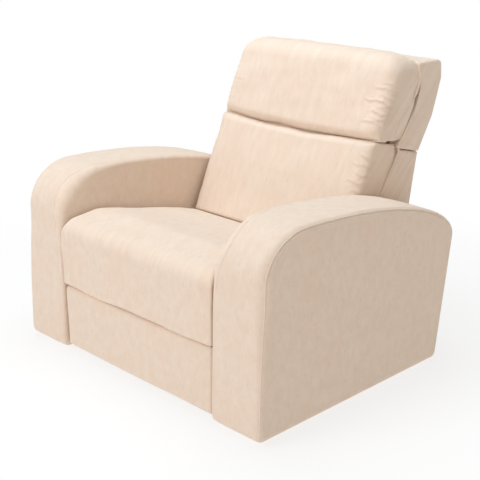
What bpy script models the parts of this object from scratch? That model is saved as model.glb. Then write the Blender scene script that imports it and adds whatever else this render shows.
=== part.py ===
"""A wide single recliner with arched padded arms, a tilting headrest and a folding footrest.

Metres, +Z up.  The front looks along -Y and the sitter's left side is +X.
Every y below is counted from the front plane of the arms, every z from the floor.
The empty "chair" moves it all so that the overall box is centred on the origin.
"""
import math

import bmesh
import bpy
from mathutils import Matrix, Vector

# Overall sizes
OVERALL_WIDTH = 1.060
ARM_WIDTH = 0.188
GLIDE_HEIGHT = 0.020
FIT = 0.0003
SIDE_GAP = 0.004
BACK_SIDE_GAP = 0.004

# Arm: an arched side profile, a padded band round it and a panel on each side
ARM_STRAIGHT_TOP = 0.452
ARM_APEX_Y = 0.159
ARM_APEX_Z = 0.587
ARM_REAR_Y = 0.847
ARM_REAR_Z = 0.407
ARM_FOOT_Y = 0.791
ARM_CORNER_RADIUS = 0.024
ARCH_POWER = 2.0
BAND_THICKNESS = 0.014
BAND_EDGE_RADIUS = 0.012
PANEL_THICKNESS = 0.016
ARM_FRAME_RAIL = 0.070

# Glides under the arms
GLIDE_RADIUS = 0.022
GLIDE_INSET = 0.085

# Steel base: two channels along the arms and two cross members
STEEL = 0.003
BASE_RAIL_BOTTOM = 0.055
BASE_RAIL_HEIGHT = 0.040
BASE_RAIL_DEPTH = 0.018
BASE_RAIL_FRONT_MARGIN = 0.027
BASE_RAIL_REAR = 0.700
STUD_RADIUS = 0.005
STUD_HOLE_PLAY = 0.0008
STUD_LENGTH = 0.030
STUD_HEAD_RADIUS = 0.009
STUD_HEAD_HEIGHT = 0.004
STUD_PLACES_Y = (0.380, 0.660)
CROSS_MEMBER_HEIGHT = 0.025
CROSS_MEMBER_WIDTH = 0.040
CROSS_MEMBER_PLACES_Y = (0.335, 0.660)

# Mechanism layers, from the seat plate inwards
PLATE_GAP = 0.001
RAIL_TO_PLATE = 0.0045
PIN_RADIUS = 0.004
PIN_HOLE_PLAY = 0.0006
RIVET_RADIUS = 0.007
RIVET_HEIGHT = 0.002
RIVET_GAP = 0.0006
LINK_END_RADIUS = 0.011

# Seat: slides on the base rails and slopes down to the rear
SEAT_SLOPE = math.radians(11.0)
SEAT_RAIL_FRONT_Y = 0.085
SEAT_RAIL_REAR_Y = 0.600
FLANGE_FRONT_Z = 0.324
FLANGE_WIDTH = 0.048
SEAT_TIMBER_THICKNESS = 0.022
SEAT_TIMBER_WIDTH = 0.048
SEAT_PLATE_DEPTH = 0.040
SEAT_PLATE_NOSE = 0.062
CHEEK_MARGIN = 0.016
SEAT_LEG_WIDTH = 0.040
LEG_CLEARANCE = 0.004
PLATE_CORNER_RADIUS = 0.012
LEG_ROOT_RADIUS = 0.008
LEG_FOOT_RADIUS = 0.006
EAR_RADIUS = 0.020
EAR_SETBACK = 0.020
EAR_RISE = 0.035
SEAT_LEG_PLACES_Y = (0.240, 0.530)
SLIDE_TRAVEL = 0.070
SLIDE_BLOCK_LENGTH = 0.046
SLIDE_CLEARANCE = 0.0005
SPRING_WIRE_RADIUS = 0.0019
SPRING_COUNT = 4
SPRING_PITCH = 0.130
SPRING_BEND_COUNT = 13
SPRING_HALF_WIDTH = 0.021
SPRING_OVERSWING = 1.25
SPRING_SEAT_LENGTH = 0.016

# Cushions: longest face along a profile, and where the arc at each end starts
SOFT_FACE_LENGTH = 0.060
END_ARC_START = math.radians(10.0)

# Seat cushion
SEAT_FRONT_BOTTOM_Z = 0.232
SEAT_TOP_Z = 0.452
SEAT_REAR_Z = 0.356
SEAT_ROLL_DEPTH = 0.072
SEAT_CUSHION_REAR_Y = 0.608
SEAT_CROWN = 0.010
SEAT_CROWN_LEAN = math.radians(19.3)
SEAT_TOP_FRONT_Y = 0.120
SEAT_TOP_RADIUS = 0.160
SEAT_NOSE_DROP = 0.010
SEAT_NOSE_RADIUS = 0.040
SEAT_REAR_RADIUS = 0.024
SEAT_ROLL_STEP = 0.012
SEAT_END_RADIUS = 0.012
ROLL_CORNER_RADIUS = 0.013

# Footrest linkage: link A turns about pivot O on the seat plate
PIVOT_O_Y = 0.150
PIVOT_O_Z = 0.231
CRANK_LENGTH = 0.188
CRANK_START = math.radians(-24.0)
CRANK_SWING = math.radians(104.0)
CRANK_SPACING = 0.045
CRANK_SPACING_ANGLE = math.radians(-30.0)
TOGGLE_SPACING = 0.045
PIVOT_H_Y = 0.090
PIVOT_H_Z = 0.165
TORQUE_TUBE_RADIUS = 0.011
CARRIER_ROD_RADIUS = 0.007
CARRIER_ROD_SHARE = 0.55

# Footrest panel: plywood board with a padded front
FOOTREST_BOTTOM_Z = 0.024
FOOTREST_TOP_Z = 0.228
FOOTREST_FRONT_Y = 0.003
FOOTREST_BOARD_REAR_Y = 0.066
FOOTREST_BOARD_THICKNESS = 0.018
FOOTREST_BOARD_INSET = 0.012
FOOTREST_CROWN = 0.003
FOOTREST_FRONT_RADIUS = 0.014
FOOTREST_REAR_RADIUS = 0.006
FOOTREST_END_RADIUS = 0.012
BRACKET_DROP = 0.040
BRACKET_RISE = 0.012
BRACKET_MARGIN = 0.004
BRACKET_FLANGE_WIDTH = 0.030

# Back: turns about pivot P at the rear of the seat plates
PIVOT_P_Y = 0.645
PIVOT_P_Z = 0.270
HUB_RADIUS = 0.018
BACK_FRONT_TOP = (0.750, 0.660)
BACK_FRONT_BOTTOM = (0.624, 0.400)
NOTCH = (0.900, 0.6250)
BACK_REAR_WAIST = (0.8700, 0.4716)
BACK_BOTTOM_Z = 0.180
BACK_UNDERCUT = ((0.745, 0.180), (0.700, 0.330))
SHELL_WALL = 0.020
SHELL_MOUTH = 0.060
SHELL_LIP = 0.030
CUT_BEYOND = 0.020
BACK_BOARD_THICKNESS = 0.015
BACK_SLOT_COUNT = 4
BACK_SLOT_SIZE = (0.070, 0.150)
BRACKET_WIDTH = 0.034
BRACKET_LOW_DEPTH = 0.008
BRACKET_LOW_RISE = 0.030
BRACKET_HIGH_DEPTH = 0.004
BRACKET_HIGH_DROP = 0.040
BRACKET_BEND_RADIUS = 0.040
BACK_BOARD_FOOT = 0.006
BACK_BOARD_HEAD = 0.014
BOARD_CORNER_RADIUS = 0.015

# Lumbar cushion, side profile
LUMBAR_BOTTOM_FRONT = (0.530, 0.377)
LUMBAR_TOP_FRONT = (0.690, 0.692)
LUMBAR_CROWN = 0.016
CUSHION_INSET = 0.003
LUMBAR_END_RADIUS = 0.022

# Headrest: turns about pivot Q at the parting line of the cushions
PIVOT_Q_Y = 0.756
PIVOT_Q_Z = 0.676
HEAD_HUB_RADIUS = 0.009
HUB_CLEARANCE = 0.006
SEAM_GAP = 0.002
HEAD_SHELL_SETBACK = 0.020
HEAD_SHELL_KINK = (0.9620, 0.730)
HEAD_SHELL_TOP_REAR = (0.997, 0.904)
HEAD_SHELL_TOP_FRONT = (0.864, 0.900)
HEAD_MOUTH = 0.048
HEAD_BOARD_THICKNESS = 0.012
HEAD_BOTTOM_FRONT = (0.689, 0.716)
HEAD_OVERHANG = 0.080
HEAD_FRONT_RISE = 0.032
HEAD_REAR_RISE = 0.0340
HEAD_END_RADIUS = 0.024
HEAD_TOP_RADIUS = 0.075
HINGE_LEAF_LENGTH = 0.130
HINGE_LEAF_DEPTH = 0.013
HINGE_ELBOW_LENGTH = 0.032
HINGE_ELBOW_DEPTH = 0.023
HEAD_CROWN = 0.010

# Release latch in the right arm's outer panel
CUP_CENTRE = (0.305, 0.385)
CUP_SIZE = (0.120, 0.070)
CUP_DEPTH = 0.040
CUP_WALL = 0.003
LEVER_LENGTH = 0.066
LEVER_THICKNESS = 0.005
LEVER_RECESS = 0.003
LEVER_PIN_RADIUS = 0.003
LEVER_KNUCKLE_RADIUS = 0.0055
LEVER_FRONT_GAP = 0.012
LEVER_END_GAP = 0.0015
CUP_CORNER_RADIUS = 0.012

# Return springs of the footrest
RETURN_SPRING_RADIUS = 0.007
RETURN_WIRE_RADIUS = 0.0012
RETURN_TURNS = 10
RETURN_CURL_POINTS = 8
RETURN_SPRING_X = 0.0265
RETURN_CRANK_REACH = 0.060
RETURN_EYE_LENGTH = 0.016
RETURN_EYE_STEPS = 7
RETURN_EYE_START = math.radians(250.0)
RETURN_EYE_SWEEP = math.radians(160.0)
RETURN_EYE_GROWTH = 1.15
RETURN_ANCHOR = (0.470, 0.228)
POST_RADIUS = 0.0035

# Values worked out from the sizes above
ARM_INNER_X = OVERALL_WIDTH / 2 - ARM_WIDTH
FRONT_BLOCK_END = SEAT_LEG_PLACES_Y[0] - SLIDE_BLOCK_LENGTH / 2
BASE_RAIL_FRONT = FRONT_BLOCK_END - SLIDE_TRAVEL - BASE_RAIL_FRONT_MARGIN
ARM_OUTER_X = OVERALL_WIDTH / 2
PANEL_HALF_WIDTH = ARM_INNER_X - SIDE_GAP
BACK_HALF_WIDTH = ARM_INNER_X - BACK_SIDE_GAP
CUSHION_HALF_WIDTH = BACK_HALF_WIDTH - CUSHION_INSET
HEAD_TOP_FRONT = (HEAD_SHELL_TOP_FRONT[0] - HEAD_OVERHANG, HEAD_SHELL_TOP_FRONT[1] + HEAD_FRONT_RISE)


def direction(angle):
    """Unit step (y, z) of a crank: angle 0 hangs straight down, positive swings forward."""
    return Vector((-math.sin(angle), -math.cos(angle)))


PIVOT_O = Vector((PIVOT_O_Y, PIVOT_O_Z))
PIVOT_C = PIVOT_O + direction(CRANK_START) * CRANK_LENGTH
PIVOT_H = Vector((PIVOT_H_Y, PIVOT_H_Z))
PIVOT_P = Vector((PIVOT_P_Y, PIVOT_P_Z))
PIVOT_Q = Vector((PIVOT_Q_Y, PIVOT_Q_Z))

# The lever's upright axis stands near the cup's front wall
LEVER_PIVOT = (
    -(ARM_OUTER_X - LEVER_RECESS - LEVER_KNUCKLE_RADIUS),
    CUP_CENTRE[0] - CUP_SIZE[0] / 2 + LEVER_FRONT_GAP + LEVER_KNUCKLE_RADIUS,
    CUP_CENTRE[1],
)

# The rear cranks stand behind the main ones and slightly lower
CRANK_OFFSET = Vector((math.cos(CRANK_SPACING_ANGLE), math.sin(CRANK_SPACING_ANGLE))) * CRANK_SPACING
PIVOT_S = PIVOT_O + CRANK_OFFSET
PIVOT_E = PIVOT_C + CRANK_OFFSET


def toggle_offset():
    """Step from C to G and from H to K, square to the carrier at the middle of the swing."""
    carrier = (PIVOT_H - PIVOT_C).normalized()
    square = Vector((carrier.y, -carrier.x))
    turn = Matrix.Rotation(CRANK_SWING / 2, 2)
    return turn @ square * TOGGLE_SPACING


TOGGLE_OFFSET = toggle_offset()
PIVOT_G = PIVOT_C + TOGGLE_OFFSET
PIVOT_K = PIVOT_H + TOGGLE_OFFSET


def layer(number):
    """Inner and outer x of a plate layer; layer 0 is the seat plate, 1 and up lie inside it."""
    outer = ARM_INNER_X - BASE_RAIL_DEPTH - RAIL_TO_PLATE - number * (STEEL + PLATE_GAP)
    return outer - STEEL, outer


def flange_z(y):
    """Underside of the seat plate's top flange."""
    return FLANGE_FRONT_Z - (y - SEAT_RAIL_FRONT_Y) * math.tan(SEAT_SLOPE)


# Finishes: colour, roughness, metallic
FABRIC = ((0.80, 0.66, 0.55), 0.90, 0.0)
TIMBER = ((0.62, 0.47, 0.30), 0.70, 0.0)
DARK_STEEL = ((0.10, 0.10, 0.11), 0.45, 0.8)
SPRING_STEEL = ((0.45, 0.45, 0.47), 0.35, 0.9)
NYLON = ((0.85, 0.84, 0.80), 0.50, 0.0)
DARK_PLASTIC = ((0.05, 0.05, 0.05), 0.50, 0.0)

# Joint frames: name, parent and place of each joint axis
FRAMES = (
    ("lever_axis", "chair", LEVER_PIVOT),
    ("seat_slide", "chair", (0.0, 0.0, 0.0)),
    ("recline_axis", "seat_slide", (0.0, *PIVOT_P)),
    ("headrest_axis", "recline_axis", (0.0, *PIVOT_Q)),
    ("crank_axis", "seat_slide", (0.0, *PIVOT_O)),
    ("carrier_axis", "crank_axis", (0.0, *PIVOT_C)),
    ("footrest_axis", "carrier_axis", (0.0, *PIVOT_H)),
    ("rear_crank_axis", "seat_slide", (0.0, *PIVOT_S)),
    ("toggle_axis", "crank_axis", (0.0, *PIVOT_G)),
)
EMPTIES = {}


def clear_scene():
    """Remove the objects that the scene starts with."""
    for obj in list(bpy.data.objects):
        bpy.data.objects.remove(obj, do_unlink=True)


def make_frames():
    """One empty on each joint axis, below the empty that carries the whole chair."""
    chair = bpy.data.objects.new("chair", None)
    bpy.context.collection.objects.link(chair)
    EMPTIES["chair"] = (chair, Vector((0.0, 0.0, 0.0)))
    for name, parent, place in FRAMES:
        empty = bpy.data.objects.new(name, None)
        bpy.context.collection.objects.link(empty)
        carrier, origin = EMPTIES[parent]
        empty.parent = carrier
        empty.location = Vector(place) - origin
        EMPTIES[name] = (empty, Vector(place))


def centre_chair():
    """Shift the whole chair so that its box is centred front to rear."""
    bpy.context.view_layer.update()
    places = []
    for obj in bpy.data.objects:
        if obj.type == "MESH":
            places += [(obj.matrix_world @ vertex.co).y for vertex in obj.data.vertices]
    chair, _ = EMPTIES["chair"]
    chair.location.y = -(min(places) + max(places)) / 2


def finish(obj, frame, look, smooth=False):
    """Give an object its material and hang it on its joint frame."""
    empty, origin = EMPTIES[frame]
    obj.parent = empty
    obj.location = -origin
    colour, roughness, metallic = look
    material = bpy.data.materials.new(obj.name)
    material.use_nodes = True
    shader = material.node_tree.nodes["Principled BSDF"]
    shader.inputs["Base Color"].default_value = (*colour, 1.0)
    shader.inputs["Roughness"].default_value = roughness
    shader.inputs["Metallic"].default_value = metallic
    obj.data.materials.clear()
    obj.data.materials.append(material)
    if smooth:
        obj.data.shade_smooth()
        obj.data.set_sharp_from_angle(angle=math.radians(40))
    return obj


def mesh_object(name, points, faces):
    """A mesh object whose faces all point outwards."""
    mesh = bpy.data.meshes.new(name)
    mesh.from_pydata([tuple(point) for point in points], [], faces)
    work = bmesh.new()
    work.from_mesh(mesh)
    bmesh.ops.remove_doubles(work, verts=work.verts, dist=1e-6)
    bmesh.ops.recalc_face_normals(work, faces=work.faces)
    work.to_mesh(mesh)
    work.free()
    obj = bpy.data.objects.new(name, mesh)
    bpy.context.collection.objects.link(obj)
    return obj


def loft(name, rings, ring_closed=True, closed=False):
    """A skin over rings of equal length, capped at both ends unless the rings close on themselves."""
    count = len(rings[0])
    points = [point for ring in rings for point in ring]
    faces = []
    spans = len(rings) if closed else len(rings) - 1
    for row in range(spans):
        following = (row + 1) % len(rings)
        for column in range(count if ring_closed else count - 1):
            beside = (column + 1) % count
            faces.append((row * count + column, row * count + beside,
                          following * count + beside, following * count + column))
    if not closed:
        faces.append(tuple(range(count)))
        faces.append(tuple((len(rings) - 1) * count + column for column in range(count)))
    return mesh_object(name, points, faces)


def combine(obj, tool, operation):
    """Apply one exact Boolean and delete its tool."""
    modifier = obj.modifiers.new(operation, "BOOLEAN")
    modifier.operation = operation
    modifier.solver = "EXACT"
    modifier.object = tool
    graph = bpy.context.evaluated_depsgraph_get()
    result = bpy.data.meshes.new_from_object(obj.evaluated_get(graph))
    obj.modifiers.clear()
    obj.data = result
    result.name = obj.name
    bpy.data.objects.remove(tool, do_unlink=True)
    return obj


def outline_solid(name, loops, low, high, plane="YZ"):
    """Extrude a flat outline and its holes between two heights along the plane's normal."""
    curve = bpy.data.curves.new(name, "CURVE")
    curve.dimensions = "2D"
    curve.fill_mode = "BOTH"
    curve.extrude = abs(high - low) / 2
    for loop in loops:
        spline = curve.splines.new("POLY")
        spline.points.add(len(loop) - 1)
        for point, place in zip(spline.points, loop):
            point.co = (place[0], place[1], 0.0, 1.0)
        spline.use_cyclic_u = True
    source = bpy.data.objects.new(name + "_outline", curve)
    bpy.context.collection.objects.link(source)
    graph = bpy.context.evaluated_depsgraph_get()
    mesh = bpy.data.meshes.new_from_object(source.evaluated_get(graph))
    bpy.data.objects.remove(source, do_unlink=True)
    turns = {
        "YZ": Matrix(((0, 0, 1, 0), (1, 0, 0, 0), (0, 1, 0, 0), (0, 0, 0, 1))),
        "ZX": Matrix(((0, 1, 0, 0), (0, 0, 1, 0), (1, 0, 0, 0), (0, 0, 0, 1))),
        "XY": Matrix.Identity(4),
    }
    normals = {"YZ": (1, 0, 0), "ZX": (0, 1, 0), "XY": (0, 0, 1)}
    shift = Matrix.Translation(Vector(normals[plane]) * (low + high) / 2)
    mesh.transform(shift @ turns[plane])
    work = bmesh.new()
    work.from_mesh(mesh)
    bmesh.ops.remove_doubles(work, verts=work.verts, dist=1e-6)
    bmesh.ops.recalc_face_normals(work, faces=work.faces)
    work.to_mesh(mesh)
    work.free()
    obj = bpy.data.objects.new(name, mesh)
    bpy.context.collection.objects.link(obj)
    return obj


def turned(name, profile, centre, axis="X", segments=12):
    """A turned piece: profile is (place along the axis, radius), centre is the other two coordinates."""
    rings = []
    for along, radius in profile:
        ring = []
        for step in range(segments):
            angle = 2 * math.pi * (step + 0.5) / segments
            first = centre[0] + radius * math.cos(angle)
            second = centre[1] + radius * math.sin(angle)
            ring.append((along, first, second) if axis == "X" else (first, second, along))
        rings.append(ring)
    return loft(name, rings)


def circle(centre, radius, segments=12):
    """Points round a circle, for holes and link ends."""
    angles = [2 * math.pi * (step + 0.5) / segments for step in range(segments)]
    return [(centre[0] + radius * math.cos(angle), centre[1] + radius * math.sin(angle)) for angle in angles]


def hull(points):
    """Convex outline round a set of flat points, anticlockwise."""
    ordered = sorted({(round(point[0], 7), round(point[1], 7)) for point in points})
    chains = []
    for sequence in (ordered, ordered[::-1]):
        chain = []
        for point in sequence:
            while len(chain) > 1:
                first = Vector(chain[-1]) - Vector(chain[-2])
                second = Vector(point) - Vector(chain[-1])
                if first.x * second.y - first.y * second.x > 1e-12:
                    break
                chain.pop()
            chain.append(point)
        chains.append(chain[:-1])
    return chains[0] + chains[1]


def link_outline(*ends):
    """The outline of a pressed link: a band drawn tight round its ends (centre, radius)."""
    points = []
    for centre, radius in ends:
        points.extend(circle(centre, radius, 16))
    return hull(points)


def strip_outline(places, half_width):
    """The outline of a bent strip of even width along three or more places, with round ends."""
    points = [Vector(place) for place in places]
    steps = [(there - here).normalized() for here, there in zip(points, points[1:])]
    sides = [Vector((step.y, -step.x)) for step in steps]
    end_radius = half_width * 0.98
    right = [(*(points[0] - (steps[0] - sides[0]) * half_width), end_radius)]
    left = [(*(points[0] - (steps[0] + sides[0]) * half_width), end_radius)]
    for index in range(1, len(points) - 1):
        middle = (sides[index - 1] + sides[index]).normalized()
        reach = half_width / middle.dot(sides[index])
        right.append((*(points[index] + middle * reach), half_width))
        left.append((*(points[index] - middle * reach), half_width))
    right.append((*(points[-1] + (steps[-1] + sides[-1]) * half_width), end_radius))
    left.append((*(points[-1] + (steps[-1] - sides[-1]) * half_width), end_radius))
    return rounded(right + left[::-1])


def rounded(corners, step=math.radians(22.5)):
    """Outline with each corner (y, z, radius) replaced by an arc."""
    points = []
    for index, corner in enumerate(corners):
        here = Vector(corner[:2])
        before = (Vector(corners[index - 1][:2]) - here).normalized()
        after = (Vector(corners[(index + 1) % len(corners)][:2]) - here).normalized()
        radius = corner[2]
        opening = before.angle(after)
        if radius <= 0 or opening > math.radians(178):
            points.append(tuple(here))
            continue
        centre = here + (before + after).normalized() * radius / math.sin(opening / 2)
        start = here + before * radius / math.tan(opening / 2) - centre
        finish_arm = here + after * radius / math.tan(opening / 2) - centre
        sweep = start.angle_signed(finish_arm)
        steps = max(1, round(abs(sweep) / step))
        for number in range(steps + 1):
            turn = Matrix.Rotation(-sweep * number / steps, 2)
            points.append(tuple(centre + turn @ start))
    return points


def offset(points, distance):
    """Move a closed anticlockwise outline inwards by a distance, which may differ at each point."""
    count = len(points)
    distances = distance if isinstance(distance, list) else [distance] * count
    moved = []
    for index, point in enumerate(points):
        here = Vector(point)
        into = (here - Vector(points[index - 1])).normalized()
        out = (Vector(points[(index + 1) % count]) - here).normalized()
        inward_one = Vector((-into.y, into.x))
        inward_two = Vector((-out.y, out.x))
        middle = (inward_one + inward_two).normalized()
        moved.append(tuple(here + middle * distances[index] / max(0.3, middle.dot(inward_one))))
    return moved


def both_sides():
    """The two sides of the chair: name and sign of x, seen by the sitter."""
    return (("left", 1), ("right", -1))


def arm_outline():
    """Side outline of an arm, anticlockwise in (y, z): an arch with rounded lower corners."""
    low = GLIDE_HEIGHT
    rear_arch = (ARM_REAR_Y - ARM_APEX_Y, ARM_APEX_Z - ARM_REAR_Z)
    front_arch = (ARM_APEX_Y, ARM_APEX_Z - ARM_STRAIGHT_TOP)
    points = []
    corners = rounded([
        (ARM_REAR_Y, ARM_REAR_Z, 0.0),
        (0.0, ARM_STRAIGHT_TOP, 0.0),
        (0.0, low, ARM_CORNER_RADIUS),
        (ARM_FOOT_Y, low, ARM_CORNER_RADIUS),
    ])
    points.extend(corners[1:])
    rear_steps = 18
    for step in range(rear_steps):
        angle = math.pi / 2 * step / rear_steps
        share = math.cos(angle) ** (2 / ARCH_POWER), math.sin(angle) ** (2 / ARCH_POWER)
        points.append((ARM_APEX_Y + rear_arch[0] * share[0], ARM_REAR_Z + rear_arch[1] * share[1]))
    front_steps = 10
    for step in range(front_steps):
        angle = math.pi / 2 * (1 - step / front_steps)
        share = math.cos(angle) ** (2 / ARCH_POWER), math.sin(angle) ** (2 / ARCH_POWER)
        points.append((ARM_APEX_Y - front_arch[0] * share[0], ARM_STRAIGHT_TOP + front_arch[1] * share[1]))
    return points


def arm_band(side, sign):
    """The padded band round an arm, with softly rounded long edges."""
    outline = arm_outline()
    edge = BAND_EDGE_RADIUS
    low, high = ARM_INNER_X, ARM_OUTER_X
    section = [(low, BAND_THICKNESS)]
    steps = 4
    for step in range(steps + 1):
        angle = math.pi / 2 * step / steps
        section.append((low + edge - edge * math.cos(angle), edge - edge * math.sin(angle)))
    for step in range(steps + 1):
        angle = math.pi / 2 * step / steps
        section.append((high - edge + edge * math.sin(angle), edge - edge * math.cos(angle)))
    section.append((high, BAND_THICKNESS))
    rings = [[(sign * x, *point) for point in offset(outline, depth)] for x, depth in section]
    band = loft(f"{side}_arm_band", rings, closed=True)
    return finish(band, "chair", FABRIC, smooth=True)


def stud_cutter(sign, start, end, play):
    """Round bores for both studs of one base rail."""
    middle = BASE_RAIL_BOTTOM + BASE_RAIL_HEIGHT / 2
    profile = [(sign * start, STUD_RADIUS + play), (sign * end, STUD_RADIUS + play)]
    return [turned("stud_bore", profile, (place, middle)) for place in STUD_PLACES_Y]


def arm_frame(side, sign):
    """The timber frame inside an arm: an arch with an open middle and two blind bores for the studs."""
    outer = offset(arm_outline(), BAND_THICKNESS + FIT)
    rail = BAND_THICKNESS + ARM_FRAME_RAIL
    inner = rounded([
        (rail, GLIDE_HEIGHT + rail, 0.020),
        (ARM_FOOT_Y - rail, GLIDE_HEIGHT + rail, 0.020),
        (ARM_REAR_Y - rail * 1.2, ARM_REAR_Z - rail * 0.2, 0.050),
        ((ARM_APEX_Y + ARM_REAR_Y) * 0.4, ARM_APEX_Z - rail, 0.300),
        (rail, ARM_APEX_Z - rail, 0.110),
    ])
    low = ARM_INNER_X + PANEL_THICKNESS + FIT
    high = ARM_OUTER_X - PANEL_THICKNESS - FIT
    frame = outline_solid(f"{side}_arm_frame", [outer, inner], sign * low, sign * high)
    for bore in stud_cutter(sign, low - STEEL, ARM_INNER_X + STUD_LENGTH + STEEL, STUD_HOLE_PLAY):
        combine(frame, bore, "DIFFERENCE")
    return finish(frame, "chair", TIMBER)


def arm_inner_panel(side, sign):
    """The padded panel on an arm's inner side, with a hole for each stud."""
    outline = offset(arm_outline(), BAND_THICKNESS + FIT)
    middle = BASE_RAIL_BOTTOM + BASE_RAIL_HEIGHT / 2
    holes = [circle((place, middle), STUD_RADIUS + STUD_HOLE_PLAY) for place in STUD_PLACES_Y]
    low, high = ARM_INNER_X, ARM_INNER_X + PANEL_THICKNESS
    panel = outline_solid(f"{side}_inner_panel", [outline, *holes], sign * low, sign * high)
    return finish(panel, "chair", FABRIC)


def cup_outline(margin):
    """Rounded outline of the latch cup, grown by a margin."""
    half_length = CUP_SIZE[0] / 2 + margin
    half_height = CUP_SIZE[1] / 2 + margin
    radius = CUP_CORNER_RADIUS + margin
    middle_y, middle_z = CUP_CENTRE
    return rounded([
        (middle_y - half_length, middle_z - half_height, radius),
        (middle_y + half_length, middle_z - half_height, radius),
        (middle_y + half_length, middle_z + half_height, radius),
        (middle_y - half_length, middle_z + half_height, radius),
    ])


def arm_outer_panel(side, sign):
    """The flat panel on an arm's outer side; the right one is cut out for the latch cup."""
    loops = [offset(arm_outline(), BAND_THICKNESS + FIT)]
    if side == "right":
        loops.append(cup_outline(FIT))
    low, high = ARM_OUTER_X - PANEL_THICKNESS, ARM_OUTER_X
    panel = outline_solid(f"{side}_outer_panel", loops, sign * low, sign * high)
    return finish(panel, "chair", FABRIC)


def glides():
    """Four glides under the arms, well inside their edges."""
    profile = [(0.0, GLIDE_RADIUS - 0.003), (0.003, GLIDE_RADIUS), (0.012, GLIDE_RADIUS),
               (GLIDE_HEIGHT - FIT, GLIDE_RADIUS - 0.004)]
    for side, sign in both_sides():
        across = sign * (ARM_INNER_X + ARM_WIDTH / 2)
        for end, place in (("front", GLIDE_INSET), ("rear", ARM_FOOT_Y - GLIDE_INSET)):
            glide = turned(f"{side}_{end}_glide", profile, (across, place), "Z", 20)
            finish(glide, "chair", DARK_PLASTIC, smooth=True)


def base_rail(side, sign):
    """A steel channel, open inwards, with two welded studs that enter the arm."""
    outer = ARM_INNER_X - FIT
    inner = outer - BASE_RAIL_DEPTH
    low, high = BASE_RAIL_BOTTOM, BASE_RAIL_BOTTOM + BASE_RAIL_HEIGHT
    channel = [(low, inner), (low, outer), (high, outer), (high, inner), (high - STEEL, inner),
               (high - STEEL, outer - STEEL), (low + STEEL, outer - STEEL), (low + STEEL, inner)]
    outline = [(z, sign * x) for z, x in channel]
    rail = outline_solid(f"{side}_base_rail", [outline], BASE_RAIL_FRONT, BASE_RAIL_REAR, "ZX")
    web = outer - STEEL
    shoulder = web + STEEL / 3
    profile = [(sign * (web - STUD_HEAD_HEIGHT), STUD_HEAD_RADIUS), (sign * shoulder, STUD_HEAD_RADIUS),
               (sign * shoulder, STUD_RADIUS), (sign * (ARM_INNER_X + STUD_LENGTH), STUD_RADIUS)]
    for place in STUD_PLACES_Y:
        combine(rail, turned("stud", profile, (place, (low + high) / 2)), "UNION")
    return finish(rail, "chair", DARK_STEEL)


def cross_members():
    """Two pressed channels, open downwards, that tie the base rails together from below."""
    half = ARM_INNER_X - FIT - STEEL
    high = BASE_RAIL_BOTTOM - FIT
    low = high - CROSS_MEMBER_HEIGHT
    for name, place in zip(("front_cross_member", "rear_cross_member"), CROSS_MEMBER_PLACES_Y):
        near, far = place - CROSS_MEMBER_WIDTH / 2, place + CROSS_MEMBER_WIDTH / 2
        outline = [(near, low), (near + STEEL, low), (near + STEEL, high - STEEL),
                   (far - STEEL, high - STEEL), (far - STEEL, low), (far, low), (far, high), (near, high)]
        finish(outline_solid(name, [outline], -half, half), "chair", DARK_STEEL)


def latch_cup():
    """A recessed cup in the right outer panel, with a bearing hole for the lever above and below."""
    mouth = -(ARM_OUTER_X - FIT)
    bottom = -(ARM_OUTER_X - CUP_DEPTH)
    cup = outline_solid("latch_cup", [cup_outline(0.0)], mouth, bottom)
    pocket = outline_solid("cup_pocket", [cup_outline(-CUP_WALL)], mouth - CUP_WALL, bottom - CUP_WALL)
    combine(cup, pocket, "DIFFERENCE")
    across, along, _ = LEVER_PIVOT
    reach = CUP_SIZE[1] / 2 + CUP_WALL
    hole = LEVER_PIN_RADIUS + PIN_HOLE_PLAY
    profile = [(CUP_CENTRE[1] - reach, hole), (CUP_CENTRE[1] + reach, hole)]
    combine(cup, turned("lever_bore", profile, (across, along), "Z"), "DIFFERENCE")
    return finish(cup, "chair", DARK_PLASTIC)


def release_lever():
    """A tapered paddle that is pulled outwards at its rear end, with a pin at each end of its knuckle."""
    across, along, middle = LEVER_PIVOT
    face = -(ARM_OUTER_X - LEVER_RECESS)
    tip = along + LEVER_LENGTH
    ends = [(face, tip), (face + LEVER_THICKNESS, tip)]
    outline = hull(circle((across, along), LEVER_KNUCKLE_RADIUS, 16) + ends)
    half = CUP_SIZE[1] / 2 - CUP_WALL - LEVER_END_GAP
    lever = outline_solid("release_lever", [outline], middle - half, middle + half, "XY")
    reach = CUP_SIZE[1] / 2 - CUP_WALL * 0.2
    profile = [(middle - reach, LEVER_PIN_RADIUS), (middle + reach, LEVER_PIN_RADIUS)]
    combine(lever, turned("lever_pin", profile, (across, along), "Z"), "UNION")
    return finish(lever, "lever_axis", DARK_PLASTIC)


def rivet(sign, owner, target, place):
    """A pin fixed in plate layer owner that passes plate layer target and carries a head beyond it."""
    own, other = layer(owner), layer(target)
    start = sum(own) / 2
    if target > owner:
        shoulder = other[0] - RIVET_GAP
        end = shoulder - RIVET_HEIGHT
    else:
        shoulder = other[1] + RIVET_GAP
        end = shoulder + RIVET_HEIGHT
    profile = [(sign * start, PIN_RADIUS), (sign * shoulder, PIN_RADIUS),
               (sign * shoulder, RIVET_RADIUS), (sign * end, RIVET_RADIUS)]
    return turned("rivet", profile, place)


def pressed_plate(name, sign, number, outline, holes=()):
    """A steel plate in one layer, with pin holes."""
    loops = [outline] + [circle(place, PIN_RADIUS + PIN_HOLE_PLAY) for place in holes]
    low, high = layer(number)
    return outline_solid(name, loops, sign * low, sign * high)


def post(sign, owner, place, inner_x):
    """A plain post from plate layer owner inwards, for a spring's hook."""
    start = sum(layer(owner)) / 2
    return turned("post", [(sign * start, POST_RADIUS), (sign * inner_x, POST_RADIUS)], place)


def spring_x():
    """Distance of the return springs from the middle plane."""
    return layer(0)[1] - RETURN_SPRING_X


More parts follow.
